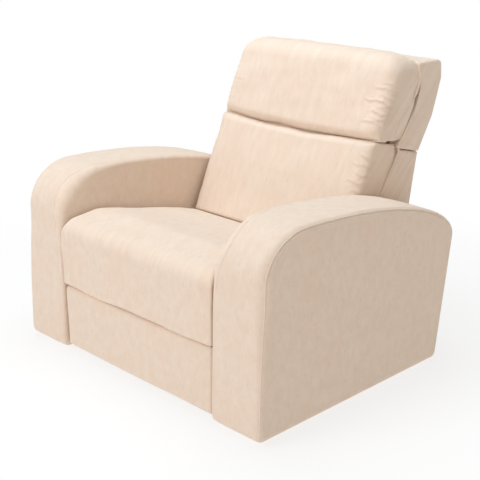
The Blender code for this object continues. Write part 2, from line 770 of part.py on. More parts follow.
def seat_plate_outline():
    """Seat plate: a sloping beam with two legs down to the base rails and an ear for the back pivot."""
    def top(y):
        return flange_z(y) + STEEL / 2

    def bottom(y):
        return flange_z(y) - SEAT_PLATE_DEPTH

    front = PIVOT_O.x - SEAT_PLATE_NOSE
    leg_end = BASE_RAIL_BOTTOM + STEEL + LEG_CLEARANCE
    corners = [(front, bottom(front), PLATE_CORNER_RADIUS),
               (PIVOT_O.x - CHEEK_MARGIN, PIVOT_O.y - CHEEK_MARGIN, PLATE_CORNER_RADIUS),
               (PIVOT_S.x, PIVOT_S.y - CHEEK_MARGIN, PLATE_CORNER_RADIUS)]
    near_tops = (PIVOT_S.y - CHEEK_MARGIN, bottom(SEAT_LEG_PLACES_Y[1]))
    for place, near_top in zip(SEAT_LEG_PLACES_Y, near_tops):
        near, far = place - SEAT_LEG_WIDTH / 2, place + SEAT_LEG_WIDTH / 2
        corners += [(near, near_top, LEG_ROOT_RADIUS), (near, leg_end, LEG_FOOT_RADIUS),
                    (far, leg_end, LEG_FOOT_RADIUS), (far, bottom(far), LEG_ROOT_RADIUS)]
    ear_near, ear_far = PIVOT_P.x - HUB_RADIUS, PIVOT_P.x + HUB_RADIUS
    ear_top = PIVOT_P.y + HUB_RADIUS
    elbow = SEAT_RAIL_REAR_Y + EAR_SETBACK
    ear_root = ear_near - EAR_SETBACK / 2
    corners += [(elbow, bottom(elbow), EAR_RADIUS), (ear_far, bottom(elbow) + EAR_RISE, EAR_RADIUS),
                (ear_far, ear_top, PLATE_CORNER_RADIUS), (ear_near, ear_top, PLATE_CORNER_RADIUS),
                (ear_root, top(ear_root), LEG_ROOT_RADIUS), (front, top(front), PLATE_CORNER_RADIUS)]
    return rounded(corners)


def seat_plate(side, sign):
    """The plate that carries the seat on one side, with its inward flange and the spring's anchor post."""
    plate = pressed_plate(f"{side}_seat_plate", sign, 0, seat_plate_outline(), (PIVOT_O, PIVOT_S, PIVOT_P))
    low, high = layer(0)
    near, far = PIVOT_O.x - SEAT_PLATE_NOSE + STEEL, SEAT_RAIL_REAR_Y
    slab = [(near, flange_z(near)), (far, flange_z(far)), (far, flange_z(far) + STEEL),
            (near, flange_z(near) + STEEL)]
    flange = outline_solid("flange", [slab], sign * (high - FLANGE_WIDTH), sign * (low + high) / 2)
    combine(plate, flange, "UNION")
    combine(plate, post(sign, 0, RETURN_ANCHOR, spring_x() - POST_RADIUS), "UNION")
    return finish(plate, "seat_slide", DARK_STEEL)


def slide_blocks(side, sign):
    """Nylon blocks on the legs of a seat plate, running in the base rail."""
    inner = layer(0)[1] + FIT
    outer = ARM_INNER_X - FIT - STEEL - SLIDE_CLEARANCE
    low = BASE_RAIL_BOTTOM + STEEL + SLIDE_CLEARANCE
    high = BASE_RAIL_BOTTOM + BASE_RAIL_HEIGHT - STEEL - SLIDE_CLEARANCE
    for end, place in zip(("front", "rear"), SEAT_LEG_PLACES_Y):
        near, far = place - SLIDE_BLOCK_LENGTH / 2, place + SLIDE_BLOCK_LENGTH / 2
        outline = rounded([(near, low, 0.005), (far, low, 0.005), (far, high, 0.005), (near, high, 0.005)])
        block = outline_solid(f"{side}_{end}_slide_block", [outline], sign * inner, sign * outer)
        finish(block, "seat_slide", NYLON)


def timber_bottom(y):
    """Underside of the seat timbers, resting on the flanges."""
    return flange_z(y) + (STEEL + FIT) / math.cos(SEAT_SLOPE)


def timber_top(y):
    """Top of the seat timbers."""
    return timber_bottom(y) + SEAT_TIMBER_THICKNESS / math.cos(SEAT_SLOPE)


def seat_timber(name, near, far, low_x, high_x):
    """One sloping board of the seat frame."""
    outline = [(near, timber_bottom(near)), (far, timber_bottom(far)), (far, timber_top(far)),
               (near, timber_top(near))]
    return finish(outline_solid(name, [outline], low_x, high_x), "seat_slide", TIMBER)


def seat_timbers():
    """Four boards that make the seat frame."""
    outer = layer(0)[1]
    width = SEAT_TIMBER_WIDTH
    near, far = SEAT_RAIL_FRONT_Y, SEAT_RAIL_REAR_Y
    seat_timber("seat_front_board", near, near + width, -outer, outer)
    seat_timber("seat_rear_board", far - width, far, -outer, outer)
    for side, sign in both_sides():
        ends = sorted((sign * outer, sign * (outer - width)))
        seat_timber(f"{side}_seat_board", near + width + FIT, far - width - FIT, *ends)


def wire(name, places, radius, resolution):
    """A bent wire along a list of places."""
    curve = bpy.data.curves.new(name, "CURVE")
    curve.dimensions = "3D"
    curve.bevel_depth = radius
    curve.bevel_resolution = resolution
    curve.use_fill_caps = True
    spline = curve.splines.new("POLY")
    spline.points.add(len(places) - 1)
    for point, place in zip(spline.points, places):
        point.co = (*place, 1.0)
    obj = bpy.data.objects.new(name, curve)
    bpy.context.collection.objects.link(obj)
    return obj


def seat_springs():
    """Sinuous springs from the front board to the rear board."""
    near = SEAT_RAIL_FRONT_Y + SEAT_TIMBER_WIDTH - SPRING_SEAT_LENGTH
    far = SEAT_RAIL_REAR_Y - SEAT_TIMBER_WIDTH + SPRING_SEAT_LENGTH
    steps = SPRING_BEND_COUNT * 3
    for number in range(SPRING_COUNT):
        middle = (number - (SPRING_COUNT - 1) / 2) * SPRING_PITCH
        places = []
        for step in range(steps + 1):
            share = step / steps
            y = near + (far - near) * share
            swing = math.sin(math.pi * SPRING_BEND_COUNT * share)
            x = middle + SPRING_HALF_WIDTH * max(-1.0, min(1.0, SPRING_OVERSWING * swing))
            places.append((x, y, timber_top(y) + FIT + SPRING_WIRE_RADIUS / math.cos(SEAT_SLOPE)))
        spring = wire(f"seat_spring_{number + 1}", places, SPRING_WIRE_RADIUS, 1)
        finish(spring, "seat_slide", SPRING_STEEL)


def inset_corners(corners, distance):
    """Draw an outline's corners (y, z, radius) inwards; a round corner stays round."""
    moved = offset([corner[:2] for corner in corners], distance)
    radii = [max(corner[2] - distance, 0.0005) if corner[2] > 0 else 0.0 for corner in corners]
    return [(*place, radius) for place, radius in zip(moved, radii)]


def side_pieces(points, longest):
    """How many pieces each side of an outline is cut into, so that it can bend."""
    pieces = []
    for index, point in enumerate(points):
        length = (Vector(points[(index + 1) % len(points)]) - Vector(point)).length
        pieces.append(max(1, math.ceil(length / longest)))
    return pieces


def divided(points, pieces):
    """An outline with each side cut into its number of pieces."""
    result = []
    for index, point in enumerate(points):
        here, there = Vector(point), Vector(points[(index + 1) % len(points)])
        result += [tuple(here.lerp(there, piece / pieces[index])) for piece in range(pieces[index])]
    return result


def soft_solid(name, corners, half_width, crown, crown_direction, end_radius, frame):
    """A cushion along x: a side profile that swells in the middle and rounds off at both ends."""
    pieces = side_pieces(rounded(corners), SOFT_FACE_LENGTH)
    end_steps = 4
    middle_steps = 6
    places = []
    for step in range(end_steps + 1):
        angle = END_ARC_START + (math.pi / 2 - END_ARC_START) * step / end_steps
        across = half_width - end_radius * (1 - math.cos(angle))
        places.append((across, end_radius * (1 - math.sin(angle))))
    for step in range(1, middle_steps):
        places.append(((half_width - end_radius) * (1 - 2 * step / middle_steps), 0.0))
    places += [(-x, inset) for x, inset in reversed(places[:end_steps + 1])]
    push = Vector(crown_direction).normalized()
    rings = []
    for x, inset in places:
        swell = crown * (1 - (x / half_width) ** 2)
        ring = []
        profile = divided(rounded(inset_corners(corners, inset)), pieces)
        for index, point in enumerate(profile):
            along = Vector(profile[(index + 1) % len(profile)]) - Vector(profile[index - 1])
            outward = Vector((along.y, -along.x)).normalized()
            moved = Vector(point) + push * swell * max(0.0, outward.dot(push))
            ring.append((x, *moved))
        rings.append(ring)
    return finish(loft(name, rings), frame, FABRIC, smooth=True)


def cushion_underside(y):
    """Underside of the seat cushion, just above the springs."""
    return timber_top(y) + 2 * (FIT + SPRING_WIRE_RADIUS / math.cos(SEAT_SLOPE))


def seat_cushion():
    """The seat cushion: a crowned top and a waterfall front that hangs before the seat frame."""
    roll_rear = SEAT_ROLL_DEPTH
    rear = SEAT_CUSHION_REAR_Y
    behind_roll = roll_rear + SEAT_ROLL_STEP
    corners = [
        (0.0, SEAT_FRONT_BOTTOM_Z, ROLL_CORNER_RADIUS),
        (roll_rear, SEAT_FRONT_BOTTOM_Z, ROLL_CORNER_RADIUS),
        (behind_roll, cushion_underside(behind_roll), 0.0),
        (rear, cushion_underside(rear), SEAT_REAR_RADIUS),
        (rear, SEAT_REAR_Z, SEAT_REAR_RADIUS),
        (SEAT_TOP_FRONT_Y, SEAT_TOP_Z, SEAT_TOP_RADIUS),
        (0.0, SEAT_TOP_Z - SEAT_NOSE_DROP, SEAT_NOSE_RADIUS),
    ]
    upwards = (-math.sin(SEAT_CROWN_LEAN), math.cos(SEAT_CROWN_LEAN))
    return soft_solid("seat_cushion", corners, PANEL_HALF_WIDTH, SEAT_CROWN, upwards, SEAT_END_RADIUS,
                      "seat_slide")


def main_link(side, sign):
    """Link A of the footrest linkage, with pins to the seat plate, the carrier and the toggle link."""
    tip = LINK_END_RADIUS - 0.001
    outline = link_outline((PIVOT_O, LINK_END_RADIUS + 0.002), (PIVOT_C, tip), (PIVOT_G, tip))
    link = pressed_plate(f"{side}_main_link", sign, 1, outline)
    combine(link, rivet(sign, 1, 0, PIVOT_O), "UNION")
    for place in (PIVOT_C, PIVOT_G):
        combine(link, rivet(sign, 1, 2, place), "UNION")
    hook = PIVOT_O + direction(CRANK_START) * RETURN_CRANK_REACH
    combine(link, post(sign, 1, hook, spring_x() - POST_RADIUS), "UNION")
    return finish(link, "crank_axis", DARK_STEEL)


def torque_tube():
    """The tube that turns both main links together."""
    half = layer(1)[0] - FIT
    profile = [(-half, TORQUE_TUBE_RADIUS), (half, TORQUE_TUBE_RADIUS)]
    return finish(turned("torque_tube", profile, PIVOT_O, segments=16), "crank_axis", DARK_STEEL, smooth=True)


def rear_link(side, sign):
    """Link B, which keeps the carrier level with the seat plate."""
    end = LINK_END_RADIUS - 0.003
    outline = link_outline((PIVOT_S, end), (PIVOT_E, end))
    link = pressed_plate(f"{side}_rear_link", sign, 1, outline)
    combine(link, rivet(sign, 1, 0, PIVOT_S), "UNION")
    combine(link, rivet(sign, 1, 2, PIVOT_E), "UNION")
    return finish(link, "rear_crank_axis", DARK_STEEL)


def carrier_link(side, sign):
    """Link 3, which carries the footrest bracket at its front end."""
    outline = strip_outline((PIVOT_E, PIVOT_C, PIVOT_H), LINK_END_RADIUS - 0.001)
    link = pressed_plate(f"{side}_carrier_link", sign, 2, outline, (PIVOT_C, PIVOT_E))
    combine(link, rivet(sign, 2, 3, PIVOT_H), "UNION")
    return finish(link, "carrier_axis", DARK_STEEL)


def carrier_rod():
    """The rod that ties the two carrier links together."""
    place = PIVOT_C.lerp(PIVOT_H, CARRIER_ROD_SHARE)
    half = layer(2)[0] - FIT
    profile = [(-half, CARRIER_ROD_RADIUS), (half, CARRIER_ROD_RADIUS)]
    return finish(turned("carrier_rod", profile, place), "carrier_axis", DARK_STEEL, smooth=True)


def toggle_link(side, sign):
    """Link 4, which turns the footrest bracket as the linkage opens."""
    end = LINK_END_RADIUS - 0.002
    outline = link_outline((PIVOT_G, end), (PIVOT_K, end))
    link = pressed_plate(f"{side}_toggle_link", sign, 2, outline, (PIVOT_G,))
    combine(link, rivet(sign, 2, 3, PIVOT_K), "UNION")
    return finish(link, "toggle_axis", DARK_STEEL)


def footrest_bracket(side, sign):
    """The bracket behind the footrest board: a cheek with two pivots and a flange on the board."""
    rear = FOOTREST_BOARD_REAR_Y + FIT
    lower, upper = PIVOT_H.y - BRACKET_DROP, PIVOT_K.y + BRACKET_RISE
    outline = hull(
        circle(PIVOT_H, LINK_END_RADIUS, 16) + circle(PIVOT_K, LINK_END_RADIUS, 16)
        + [(rear + STEEL / 2, lower), (rear + STEEL / 2, upper)]
    )
    bracket = pressed_plate(f"{side}_footrest_bracket", sign, 3, outline, (PIVOT_H, PIVOT_K))
    low, high = layer(3)
    flange_low, flange_high = lower - BRACKET_MARGIN, upper + BRACKET_MARGIN
    section = [(rear, flange_low), (rear + STEEL, flange_low), (rear + STEEL, flange_high),
               (rear, flange_high)]
    flange = outline_solid("flange", [section], sign * (high - BRACKET_FLANGE_WIDTH), sign * (low + high) / 2)
    combine(bracket, flange, "UNION")
    return finish(bracket, "footrest_axis", DARK_STEEL)


def footrest_board():
    """Plywood board behind the footrest pad."""
    half = PANEL_HALF_WIDTH - FOOTREST_BOARD_INSET
    low, high = FOOTREST_BOTTOM_Z + FOOTREST_BOARD_INSET, FOOTREST_TOP_Z - FOOTREST_BOARD_INSET
    rear = FOOTREST_BOARD_REAR_Y
    front = rear - FOOTREST_BOARD_THICKNESS
    outline = [(front, low), (rear, low), (rear, high), (front, high)]
    return finish(outline_solid("footrest_board", [outline], -half, half), "footrest_axis", TIMBER)


def footrest_pad():
    """The padded front of the footrest, which is the chair's front panel when folded."""
    rear = FOOTREST_BOARD_REAR_Y - FOOTREST_BOARD_THICKNESS - FIT
    corners = [
        (FOOTREST_FRONT_Y, FOOTREST_BOTTOM_Z, FOOTREST_FRONT_RADIUS),
        (rear, FOOTREST_BOTTOM_Z, FOOTREST_REAR_RADIUS),
        (rear, FOOTREST_TOP_Z, FOOTREST_REAR_RADIUS),
        (FOOTREST_FRONT_Y, FOOTREST_TOP_Z, FOOTREST_FRONT_RADIUS),
    ]
    return soft_solid("footrest_pad", corners, PANEL_HALF_WIDTH, FOOTREST_CROWN, (-1.0, 0.0),
                      FOOTREST_END_RADIUS, "footrest_axis")


def return_spring(side, sign):
    """A long coil spring, hooked over a post on the main link and a post on the seat plate."""
    hook = PIVOT_O + direction(CRANK_START) * RETURN_CRANK_REACH
    anchor = Vector(RETURN_ANCHOR)
    run = (anchor - hook).normalized()
    across = Vector((-run.y, run.x))
    bend = POST_RADIUS + RETURN_WIRE_RADIUS * RETURN_EYE_GROWTH + FIT
    middle_x = sign * spring_x()

    def eye(centre, toward):
        """Points round a post, from its far side to the side that faces the coil."""
        points = []
        for step in range(RETURN_EYE_STEPS + 1):
            angle = RETURN_EYE_START - RETURN_EYE_SWEEP * step / RETURN_EYE_STEPS
            spot = centre + toward * math.cos(angle) * bend + across * math.sin(angle) * bend
            points.append((middle_x, spot.x, spot.y))
        return points

    coil_start = hook + run * (bend + RETURN_EYE_LENGTH)
    coil_end = anchor - run * (bend + RETURN_EYE_LENGTH)
    steps = RETURN_TURNS * RETURN_CURL_POINTS
    coil = []
    for step in range(steps + 1):
        angle = 2 * math.pi * step / RETURN_CURL_POINTS
        spot = coil_start.lerp(coil_end, step / steps) + across * math.cos(angle) * RETURN_SPRING_RADIUS
        coil.append((middle_x + math.sin(angle) * RETURN_SPRING_RADIUS, spot.x, spot.y))
    places = eye(hook, run) + coil + eye(anchor, -run)[::-1]
    spring = wire(f"{side}_return_spring", places, RETURN_WIRE_RADIUS, 1)
    return finish(spring, "seat_slide", SPRING_STEEL)


def back_bracket(side, sign):
    """The long steel plate from the recline pivot up to the headrest pivot."""
    half = BRACKET_WIDTH / 2
    lean = Vector(BACK_FRONT_TOP) - Vector(BACK_FRONT_BOTTOM)
    lean.normalize()
    square = Vector((lean.y, -lean.x))
    lower = Vector(BACK_FRONT_BOTTOM) + square * (half + BRACKET_LOW_DEPTH) + lean * BRACKET_LOW_RISE
    upper = Vector(BACK_FRONT_TOP) + square * (half + BRACKET_HIGH_DEPTH) - lean * BRACKET_HIGH_DROP
    corners = [
        (PIVOT_P.x + HUB_RADIUS, PIVOT_P.y - HUB_RADIUS, 0.016),
        (*(lower + square * half), BRACKET_BEND_RADIUS),
        (*(upper + square * half), 0.030),
        (PIVOT_Q.x + HEAD_HUB_RADIUS + 0.001, PIVOT_Q.y - 0.004, 0.004),
        (PIVOT_Q.x + HEAD_HUB_RADIUS - 0.001, PIVOT_Q.y + HEAD_HUB_RADIUS, 0.007),
        (PIVOT_Q.x - HEAD_HUB_RADIUS, PIVOT_Q.y + HEAD_HUB_RADIUS, 0.007),
        (PIVOT_Q.x - HEAD_HUB_RADIUS, PIVOT_Q.y - HEAD_HUB_RADIUS / 2, 0.004),
        (BACK_FRONT_TOP[0] + 0.003, BACK_FRONT_TOP[1], 0.004),
        (*(upper - square * half), 0.030),
        (*(lower - square * half), BRACKET_BEND_RADIUS),
        (PIVOT_P.x - HUB_RADIUS, PIVOT_P.y + HUB_RADIUS, 0.010),
        (PIVOT_P.x - HUB_RADIUS, PIVOT_P.y - HUB_RADIUS, 0.016),
    ]
    plate = pressed_plate(f"{side}_back_bracket", sign, 1, rounded(corners), (PIVOT_Q,))
    combine(plate, rivet(sign, 1, 0, PIVOT_P), "UNION")
    return finish(plate, "recline_axis", DARK_STEEL)


def sloping_board(name, half_width, bottom, top, thickness, slots, frame):
    """A plywood board behind a sloping front plane; slots is (count, width, height)."""
    length = (Vector(top) - Vector(bottom)).length
    corner = BOARD_CORNER_RADIUS
    loops = [rounded([(-half_width, 0.0, corner), (half_width, 0.0, corner), (half_width, length, corner),
                      (-half_width, length, corner)])]
    count, width, height = slots
    for number in range(count):
        middle = (number - (count - 1) / 2) * 2 * half_width / (count + 0.5)
        low = (length - height) / 2
        near, far, high = middle - width / 2, middle + width / 2, low + height
        corner = width * 0.4
        loops.append(rounded([(near, low, corner), (far, low, corner), (far, high, corner),
                              (near, high, corner)]))
    board = outline_solid(name, loops, -thickness, 0.0, "XY")
    lean = math.atan2(top[1] - bottom[1], top[0] - bottom[0])
    board.data.transform(Matrix.Translation((0.0, *bottom)) @ Matrix.Rotation(lean, 4, "X"))
    return finish(board, frame, TIMBER)


def back_board():
    """The slotted board that backs the lumbar cushion."""
    half = layer(1)[0] - FIT
    lean = (Vector(BACK_FRONT_TOP) - Vector(BACK_FRONT_BOTTOM)).normalized()
    bottom = Vector(BACK_FRONT_BOTTOM) + lean * BACK_BOARD_FOOT
    top = Vector(BACK_FRONT_TOP) - lean * BACK_BOARD_HEAD
    return sloping_board("back_board", half, bottom, top, BACK_BOARD_THICKNESS,
                         (BACK_SLOT_COUNT, *BACK_SLOT_SIZE), "recline_axis")


def back_shell():
    """The upholstered rear and sides of the lower back, open to the front."""
    profile = rounded([
        (*BACK_UNDERCUT[0], 0.010),
        (rear_line(BACK_BOTTOM_Z), BACK_BOTTOM_Z, 0.020),
        (*BACK_REAR_WAIST, 0.0),
        (*NOTCH, 0.004),
        (*BACK_FRONT_TOP, 0.004),
        (*BACK_FRONT_BOTTOM, 0.006),
        (*BACK_UNDERCUT[1], 0.020),
    ])
    shell = outline_solid("back_shell", [profile], -BACK_HALF_WIDTH, BACK_HALF_WIDTH)
    wall = SHELL_WALL
    front_top = Vector(BACK_FRONT_TOP)
    front_bottom = Vector(BACK_FRONT_BOTTOM)
    lean = (front_top - front_bottom).normalized()
    square = Vector((-lean.y, lean.x))
    mouth = BACK_FRONT_TOP[0] + SHELL_MOUTH
    fall = (BACK_FRONT_TOP[1] - NOTCH[1]) / (NOTCH[0] - BACK_FRONT_TOP[0])
    cavity = [
        tuple(front_bottom - lean * SHELL_LIP + square * CUT_BEYOND),
        (BACK_UNDERCUT[1][0] + wall * 0.9, BACK_UNDERCUT[1][1] + wall * 0.3),
        (BACK_UNDERCUT[0][0] + wall, BACK_BOTTOM_Z + wall),
        (rear_line(BACK_BOTTOM_Z + wall) - wall, BACK_BOTTOM_Z + wall),
        (BACK_REAR_WAIST[0] - wall, BACK_REAR_WAIST[1]),
        (NOTCH[0] - wall, NOTCH[1] - wall * 0.8),
        (mouth, BACK_FRONT_TOP[1] - SHELL_MOUTH * fall - wall),
        (mouth, BACK_FRONT_TOP[1] + wall),
        tuple(front_top + lean * wall + square * CUT_BEYOND),
    ]
    inside = layer(1)[1] + FIT
    pocket = outline_solid("back_pocket", [cavity], -inside, inside)
    combine(shell, pocket, "DIFFERENCE")
    return finish(shell, "recline_axis", FABRIC)


def rear_line(height):
    """The y of the lower back's rear face below its waist."""
    slope = (NOTCH[0] - BACK_REAR_WAIST[0]) / (NOTCH[1] - BACK_REAR_WAIST[1])
    return BACK_REAR_WAIST[0] - (BACK_REAR_WAIST[1] - height) * slope


def lumbar_cushion():
    """The cushion below the parting line, crowned to the front."""
    lean = (Vector(BACK_FRONT_TOP) - Vector(BACK_FRONT_BOTTOM)).normalized()
    square = Vector((-lean.y, lean.x))
    rear_top = Vector(BACK_FRONT_TOP) + square * FIT * 2
    rear_bottom = Vector(BACK_FRONT_BOTTOM) + square * FIT * 2
    corners = [
        (*LUMBAR_BOTTOM_FRONT, 0.035),
        (*rear_bottom, 0.006),
        (*rear_top, 0.003),
        (*LUMBAR_TOP_FRONT, 0.030),
    ]
    return soft_solid("lumbar_cushion", corners, CUSHION_HALF_WIDTH, LUMBAR_CROWN, (-lean.y, lean.x),
                      LUMBAR_END_RADIUS, "recline_axis")


def head_shell_profile(margin):
    """Side outline of the headrest shell, drawn in by a margin."""
    seam = Vector(NOTCH) - Vector(BACK_FRONT_TOP)
    seam.normalize()
    lift = Vector((-seam.y, seam.x)) * SEAM_GAP
    notch = Vector(NOTCH) + lift
    front = notch - seam * ((notch.x - PIVOT_Q.x) / seam.x - HEAD_SHELL_SETBACK)
    corners = [(*front, 0.004), (*notch, 0.004), (*HEAD_SHELL_KINK, 0.030), (*HEAD_SHELL_TOP_REAR, 0.024),
               (*HEAD_SHELL_TOP_FRONT, 0.004)]
    return offset(rounded(corners), margin), front


def head_shell():
    """The upholstered rear and sides of the headrest, open to the front."""
    profile, front = head_shell_profile(0.0)
    shell = outline_solid("headrest_shell", [profile], -BACK_HALF_WIDTH, BACK_HALF_WIDTH)
    wall = SHELL_WALL
    lean = (Vector(HEAD_SHELL_TOP_FRONT) - front).normalized()
    square = Vector((-lean.y, lean.x))
    cavity = [
        tuple(front + square * CUT_BEYOND - lean * wall / 2),
        (front.x + HEAD_MOUTH, front.y - SHELL_LIP),
        (front.x + HEAD_MOUTH, front.y + wall * 0.8),
        (NOTCH[0] - wall, NOTCH[1] + wall * 1.4),
        (HEAD_SHELL_KINK[0] - wall * 1.3, HEAD_SHELL_KINK[1]),
        (HEAD_SHELL_TOP_REAR[0] - wall * 1.2, HEAD_SHELL_TOP_REAR[1] - wall),
        (HEAD_SHELL_TOP_FRONT[0] - wall / 2, HEAD_SHELL_TOP_FRONT[1] - wall),
        tuple(Vector(HEAD_SHELL_TOP_FRONT) + square * CUT_BEYOND - lean * wall),
    ]
    inside = layer(2)[1] + FIT
    pocket = outline_solid("headrest_pocket", [cavity], -inside, inside)
    combine(shell, pocket, "DIFFERENCE")
    return finish(shell, "headrest_axis", FABRIC)


def headrest_board():
    """The board that backs the head cushion."""
    _, front = head_shell_profile(0.0)
    lean = (Vector(HEAD_SHELL_TOP_FRONT) - front).normalized()
    bottom = front + lean * BACK_BOARD_HEAD
    top = Vector(HEAD_SHELL_TOP_FRONT) - lean * (SHELL_WALL * 1.2 + SIDE_GAP)
    half = layer(2)[0] - FIT
    return sloping_board("headrest_board", half, bottom, top, HEAD_BOARD_THICKNESS,
                         (BACK_SLOT_COUNT, BACK_SLOT_SIZE[0], BACK_SLOT_SIZE[1] / 2), "headrest_axis")


def headrest_hinge(side, sign):
    """The moving leaf of a headrest hinge, pinned to the top of the back bracket."""
    _, front = head_shell_profile(0.0)
    lean = (Vector(HEAD_SHELL_TOP_FRONT) - front).normalized()
    square = Vector((lean.y, -lean.x))
    end = front + lean * HINGE_LEAF_LENGTH + square * HINGE_LEAF_DEPTH
    elbow = front + lean * HINGE_ELBOW_LENGTH + square * HINGE_ELBOW_DEPTH
    outline = strip_outline((PIVOT_Q, elbow, end), HEAD_HUB_RADIUS)
    leaf = pressed_plate(f"{side}_headrest_hinge", sign, 2, outline)
    combine(leaf, rivet(sign, 2, 1, PIVOT_Q), "UNION")
    return finish(leaf, "headrest_axis", DARK_STEEL)


def head_cushion():
    """The head cushion: full at the top, with a rounded lower edge over the parting line."""
    _, front = head_shell_profile(0.0)
    lean = (Vector(HEAD_SHELL_TOP_FRONT) - front).normalized()
    square = Vector((-lean.y, lean.x))
    clear_of_hub = PIVOT_Q.y + HEAD_HUB_RADIUS + HUB_CLEARANCE - front.y
    groove = front + square * FIT * 2 + lean * clear_of_hub / lean.y
    rear_top = Vector(HEAD_SHELL_TOP_FRONT) + square * FIT * 2 + lean * HEAD_REAR_RISE
    corners = [
        (*HEAD_BOTTOM_FRONT, 0.028),
        (*groove, 0.003),
        (*rear_top, 0.012),
        (*HEAD_TOP_FRONT, HEAD_TOP_RADIUS),
    ]
    return soft_solid("head_cushion", corners, CUSHION_HALF_WIDTH, HEAD_CROWN, (-lean.y, lean.x),
                      HEAD_END_RADIUS, "headrest_axis")


def build():
    """Model every sub-part."""
    clear_scene()
    make_frames()
    glides()
    cross_members()
    seat_timbers()
    seat_springs()
    for side, sign in both_sides():
        arm_frame(side, sign)
        arm_band(side, sign)
        arm_inner_panel(side, sign)
        arm_outer_panel(side, sign)
        base_rail(side, sign)
        seat_plate(side, sign)
        slide_blocks(side, sign)
        main_link(side, sign)
        rear_link(side, sign)
        carrier_link(side, sign)
        toggle_link(side, sign)
        footrest_bracket(side, sign)
        return_spring(side, sign)
        back_bracket(side, sign)
        headrest_hinge(side, sign)
    latch_cup()
    release_lever()
    torque_tube()
    carrier_rod()
    footrest_board()
    footrest_pad()
    seat_cushion()
    back_board()
    back_shell()
    lumbar_cushion()
    head_shell()
    headrest_board()
    head_cushion()
    centre_chair()


build()
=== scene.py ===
"""Looks of the wide recliner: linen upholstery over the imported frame, and finishes for its metalwork.

Metres, +Z up; the chair looks along -Y and the sitter's left side is +X.
Side profiles are written as (y, z), with y counted from the front plane of the arms.
"""
import math

import bpy
import numpy as np
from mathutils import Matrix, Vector


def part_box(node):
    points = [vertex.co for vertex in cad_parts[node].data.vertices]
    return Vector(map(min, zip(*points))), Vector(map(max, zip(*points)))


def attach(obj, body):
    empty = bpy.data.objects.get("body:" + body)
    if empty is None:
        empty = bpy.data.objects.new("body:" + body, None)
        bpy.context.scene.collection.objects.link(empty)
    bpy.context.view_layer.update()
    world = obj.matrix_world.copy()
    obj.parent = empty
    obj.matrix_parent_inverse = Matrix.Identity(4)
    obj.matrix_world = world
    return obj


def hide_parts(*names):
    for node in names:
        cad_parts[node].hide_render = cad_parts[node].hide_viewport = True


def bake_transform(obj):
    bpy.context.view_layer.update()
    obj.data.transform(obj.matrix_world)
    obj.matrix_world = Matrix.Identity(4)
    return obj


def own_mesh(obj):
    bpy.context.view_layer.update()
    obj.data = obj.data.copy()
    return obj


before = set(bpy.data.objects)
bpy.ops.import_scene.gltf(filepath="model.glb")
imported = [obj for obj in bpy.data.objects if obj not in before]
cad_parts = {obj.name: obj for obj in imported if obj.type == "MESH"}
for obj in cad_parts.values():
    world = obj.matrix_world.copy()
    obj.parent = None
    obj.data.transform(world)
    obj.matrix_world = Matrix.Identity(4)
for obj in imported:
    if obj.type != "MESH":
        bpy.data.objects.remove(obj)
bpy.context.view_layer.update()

# Places taken from the frame
ARM_LOW, ARM_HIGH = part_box("left_arm_band")
FRONT_Y = ARM_LOW.y
ARM_INNER_X = ARM_LOW.x
ARM_OUTER_X = ARM_HIGH.x
SEAT_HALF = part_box("seat_cushion")[1].x
BACK_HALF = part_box("back_shell")[1].x
CUSHION_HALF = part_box("lumbar_cushion")[1].x

# Side profile of an arm
ARM_APEX_Y = 0.159
ARM_REAR_Z = 0.407
ARM_STRAIGHT_TOP = 0.452
ARM_FOOT_Y = 0.791
ARM_CORNER = 0.024
ARM_REAR_POWER = 2.0
ARM_FRONT_POWER = 1.86
ARM_OUTLINE_COUNT = 460
# The arm's cover hangs this far below its band and leans this far forwards at the floor
ARM_FOOT_DROP = 0.008
ARM_FRONT_LEAN = 0.008
# Both edges are rolls that widen round the bend at the front: radius, what the bell adds, its place and reach
OUTER_EDGE_RADIUS = 0.016
OUTER_ROLL_BACK = 0.022
OUTER_ROLL_ACROSS = 0.026
OUTER_ROLL_AT = (0.0, 0.430)
OUTER_ROLL_REACH = 0.150
INNER_EDGE_RADIUS = 0.013
INNER_ROLL = 0.027
INNER_ROLL_AT = (0.030, 0.545)
INNER_ROLL_REACH = 0.120
# How far the outer and the inner face swell, along x
FACE_PILLOW = (0.0035, -0.0015)
BAND_CROWN = 0.0012
# The outer seam lies on its roll, this turn from the side; the inner one on the band, this far from its roll
OUTER_SEAM_TURN = 0.44
INNER_SEAM_AT = 0.0030
OUTER_SEAM_DEPTH = 0.0022
INNER_SEAM_DEPTH = 0.0026
SEAM_HALF_WIDTH = 0.0020

# Topstitching beside the outer seam
STITCH_AT = 0.0040
STITCH_RADIUS = 0.0011
STITCH_PITCH = 0.0090
POINTS_A_STITCH = 8

# Stuffing: the simulated covers' cloth, the frames, the most that a point moves and the depth held by the frame
CLOTH_SETTINGS = {
    "quality": 4, "mass": 0.4, "use_pressure": True, "uniform_pressure_force": 4.0, "tension_stiffness": 12.0,
    "compression_stiffness": 12.0, "shear_stiffness": 4.0, "bending_stiffness": 0.4, "vertex_group_mass": "held",
}
AIR_FRAMES = 20
AIR_CAP = 0.010
HELD_DEPTH = 0.03

